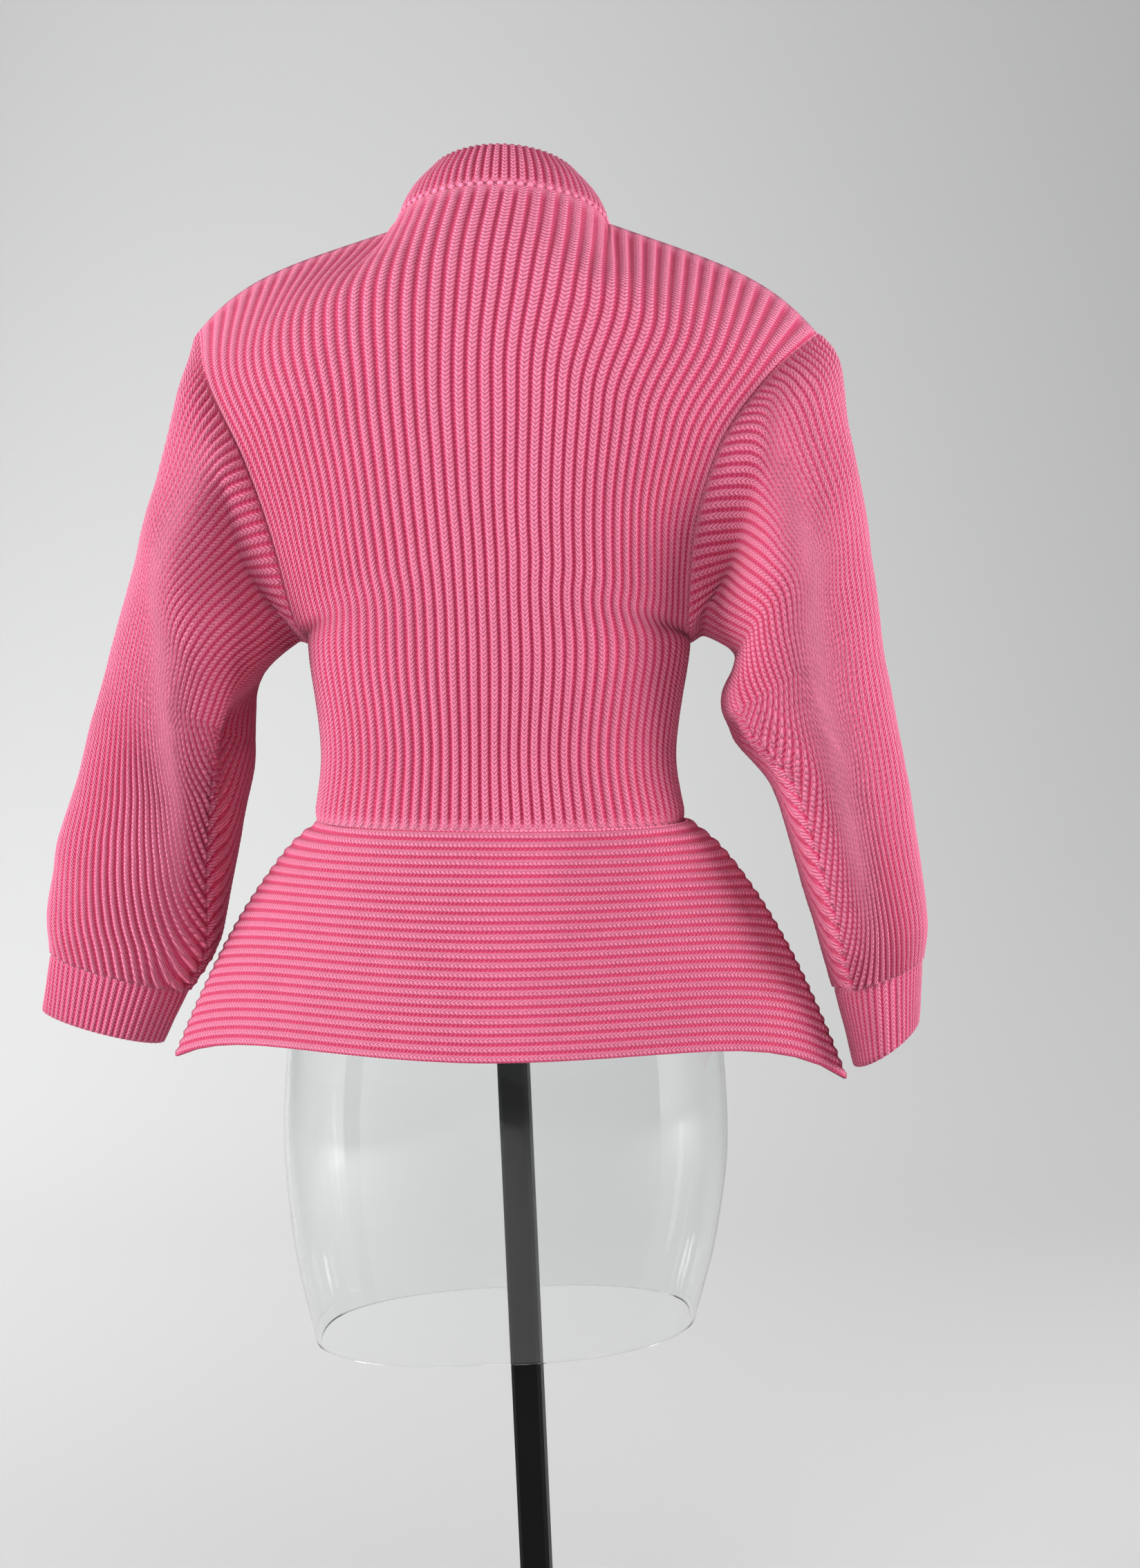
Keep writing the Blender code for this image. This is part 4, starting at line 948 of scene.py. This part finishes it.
for name, side in (("peplum_back_knit", -1), ("peplum_front_knit", 1)):
    fractions = np.linspace(0.0, 1.0, PEPLUM_STEPS + 1)
    falls = np.linspace(0.0, 1.0, PEPLUM_RIBS * COLUMNS_PER_RIB + 1)
    grid = np.array([peplum_curve(fall, side, fractions) for fall in falls])
    outward = grid_normals(grid)
    outward[0, :, 2] = 0.0
    outward[:, 0] = (-1.0, 0.0, 0.0)
    outward[:, -1] = (1.0, 0.0, 0.0)
    outward = blurred(unit(outward), PEPLUM_BLUR)
    rib = np.broadcast_to((falls * PEPLUM_RIBS)[:, None], grid.shape[:2])
    stitch = along_columns(grid.transpose(1, 0, 2)).T / STITCH_HEIGHT
    peplum = cloth_shell(name, grid, outward, rib, stitch, np.ones(grid.shape[:2]))
    finish_cloth(peplum, name.replace("_knit", ""), PEPLUM_RIB_HEIGHT,
                 PEPLUM_SWAY)

waist = np.vstack([peplum_curve(0.0, -1, np.linspace(0.0, 1.0, 2 * DENSE)),
                   peplum_curve(0.0, 1, np.linspace(1.0, 0.0, 2 * DENSE))])
link_row("waist_links", np.hstack([waist, waist * (1.0, 2.0, 0.0)]))


# Torso form. A clear blown acrylic shell, 3 mm thick, with polished edges: open at the hips, where it is
# sawn off, and closed at the neck by a plate that the pole's flange is screwed under.
FORM_WALL = 3.0
FORM_SIDES = 128
FORM_LEVELS = 72
# Each row has the height, half width, depth at the back, depth at the front, squareness and sideways rise.
FORM_SECTIONS = (
    (334, 134, 92, 84, 2.3, 0.070),
    (400, 149, 100, 92, 2.3, 0.037),
    (470, 156, 103, 97, 2.2, 0.002),
    (540, 152, 100, 97, 2.2, 0),
    (620, 130, 88, 90, 2.2, 0),
    (735, 110, 76, 78, 2.2, 0),
    (830, 119, 84, 90, 2.2, 0),
    (930, 132, 94, 92, 2.2, 0),
    (985, 155, 84, 78, 2.1, -0.008),
    (1024, 170, 60, 56, 2, -0.018),
    (1049.5, 156, 42, 40, 2, -0.018),
    (1069.8, 122, 36, 36, 2, -0.011),
    (1086.5, 72, 38, 38, 2, -0.008),
    (1118, 44, 37, 41, 2, 0),
)
CREASE_DEPTH = 4.0
CREASE_WIDTH = 16.0
CREASE_RUN = 260.0


def form_ring(row):
    """One oval of the form's outer face, with the hips' crease at the back and front."""
    height, half_width, back, front, square, rise = row
    angles = np.linspace(0.0, 2 * math.pi, FORM_SIDES + 1)
    power = 2.0 / square
    x = half_width * np.sign(np.sin(angles)) * np.abs(np.sin(angles)) ** power
    depth = np.where(np.cos(angles) > 0, back, front)
    y = -depth * np.sign(np.cos(angles)) * np.abs(np.cos(angles)) ** power
    hips = max(0.0, 1 - (height - FORM_SECTIONS[0][0]) / CREASE_RUN)
    y = y - np.sign(y) * CREASE_DEPTH * hips * np.exp(-(x / CREASE_WIDTH) ** 2)
    return np.stack([x, y, height + rise * x], axis=1)


heights = [row[0] for row in FORM_SECTIONS]
levels = np.linspace(heights[0], heights[-1], FORM_LEVELS + 1)
form_grid = np.array([form_ring(smooth_between(heights, FORM_SECTIONS, level)) for level in levels])
form_outward = grid_normals(form_grid, closed=True)
form_outward[0, :, 2] = 0.0
form_outward[-1, :, 2] = 0.0
form_inside = form_grid - unit(form_outward) * FORM_WALL
form_inside[-1, :, 2] = form_grid[-1, :, 2] - FORM_WALL
form_points = np.vstack([leaning(face)[:, :-1].reshape(-1, 3) for face in (form_grid, form_inside)])
form_faces = []
inside_start = (FORM_LEVELS + 1) * FORM_SIDES
for level in range(FORM_LEVELS):
    for number in range(FORM_SIDES):
        beside = (number + 1) % FORM_SIDES
        low = level * FORM_SIDES
        quad = [low + number, low + beside, low + FORM_SIDES + beside, low + FORM_SIDES + number]
        form_faces.append(quad)
        form_faces.append([inside_start + corner for corner in reversed(quad)])
for number in range(FORM_SIDES):
    beside = (number + 1) % FORM_SIDES
    form_faces.append([number, inside_start + number, inside_start + beside, beside])
top = FORM_LEVELS * FORM_SIDES
form_faces.append([top + number for number in range(FORM_SIDES)])
form_faces.append([inside_start + top + number for number in reversed(range(FORM_SIDES))])
form_mesh = bpy.data.meshes.new("clear_torso_form")
form_mesh.from_pydata((form_points * MM).tolist(), [], form_faces)
turn_outward(form_mesh)
form_mesh.shade_smooth()
form_mesh.set_sharp_from_angle(angle=math.radians(40))
form = added("clear_torso_form", form_mesh)

# Blown acrylic sheet, flame polished: nearly invisible face on, bright and dark at a grazing angle.
acrylic = new_material("clear_acrylic", {"Base Color": srgb("#fbfcfc"), "Transmission Weight": 1.0,
                                         "IOR": 1.49, "Roughness": 0.03})
form_mesh.materials.append(acrylic)
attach(form, "root")
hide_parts("torso_form")


# Pole, flange, socket and base. Mild steel, powder coated in satin black: the fine orange-peel skin breaks
# up its highlights. The square pole is held in the socket on the round base and by the flange in the neck.
PEEL_SIZE = 1.2
PEEL_DEPTH = 0.05
RUB_SIZE = 40.0
powder = new_material("satin_black_powder_coat", {"Base Color": srgb("#070708"),
                                                  "Specular IOR Level": 0.12})
tree = powder.node_tree
shader = tree.nodes["Principled BSDF"]
where = add(tree, "ShaderNodeTexCoord")["Object"]
peel = add(tree, NOISE, {"Vector": where, "Scale": 1.0 / (PEEL_SIZE * MM), "Detail": 2.0})["Fac"]
rub = add(tree, NOISE, {"Vector": where, "Scale": 1.0 / (RUB_SIZE * MM), "Detail": 4.0})["Fac"]
gloss = add(tree, "ShaderNodeMapRange", {"Value": rub, "To Min": 0.38, "To Max": 0.55})["Result"]
skin = add(tree, "ShaderNodeBump", {"Height": peel, "Strength": 0.25,
                                    "Distance": PEEL_DEPTH * MM})["Normal"]
tree.links.new(gloss, shader.inputs["Roughness"])
tree.links.new(skin, shader.inputs["Normal"])
for node in ("pole", "base_plate", "base_socket", "neck_flange"):
    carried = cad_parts[node]
    carried.data.materials.clear()
    carried.data.materials.append(powder)


# Studio. A pale grey sweep of paper under and behind the stand, and soft light from both sides, more of it
# from the left.
PAPER_HALF_WIDTH = 7.0
PAPER_START = -6.0
PAPER_BEND = 1.4
PAPER_RADIUS = 3.2
PAPER_TOP = 7.0
PAPER_DROP = 0.001
bend = [(PAPER_BEND + PAPER_RADIUS * math.sin(turn), PAPER_RADIUS * (1 - math.cos(turn)))
        for turn in np.linspace(0.0, math.pi / 2, 25)]
profile = [(PAPER_START, 0.0)] + bend + [(PAPER_BEND + PAPER_RADIUS, PAPER_TOP)]
paper_points = [(side * PAPER_HALF_WIDTH, y, z - PAPER_DROP) for y, z in profile for side in (-1, 1)]
paper_faces = [(2 * step, 2 * step + 1, 2 * step + 3, 2 * step + 2) for step in range(len(profile) - 1)]
paper_mesh = bpy.data.meshes.new("paper_sweep")
paper_mesh.from_pydata(paper_points, [], paper_faces)
paper_mesh.shade_smooth()
paper = new_material("grey_paper", {"Base Color": srgb("#c8c8c8"), "Roughness": 0.9,
                                    "Specular IOR Level": 0.1})
paper_mesh.materials.append(paper)
added("paper_sweep", paper_mesh)

LIGHTS = (
    ("left_light", (-2.4, -1.2, 1.2), (0.0, 0.0, 0.75), 1.2, 88.0),
    ("right_light", (2.5, -0.5, 0.9), (0.1, 0.0, 0.7), 1.0, 66.0),
    ("front_light", (-0.9, -3.2, 1.2), (0.0, 0.0, 0.8), 1.4, 22.0),
    ("top_light", (0.5, -1.0, 2.7), (0.0, 0.0, 1.0), 1.4, 9.0),
    ("paper_light", (-1.9, 1.2, 2.3), (0.5, 4.4, 1.6), 3.0, 84.0),
)
for name, place, aim, size, power in LIGHTS:
    lamp = bpy.data.lights.new(name, "AREA")
    lamp.shape = "DISK"
    lamp.size = size
    lamp.energy = power
    back = unit(np.array(place) - np.array(aim))
    side = unit(np.cross([0.0, 0.0, 1.0], back))
    added(name, lamp).matrix_world = turned_to((side, np.cross(back, side), back), place)
world = bpy.data.worlds.new("studio")
world.use_nodes = True
world.node_tree.nodes["Background"].inputs["Color"].default_value = srgb("#eef0f2")
world.node_tree.nodes["Background"].inputs["Strength"].default_value = 0.28
bpy.context.scene.world = world
bpy.context.scene.view_settings.view_transform = "Standard"

bpy.context.view_layer.update()
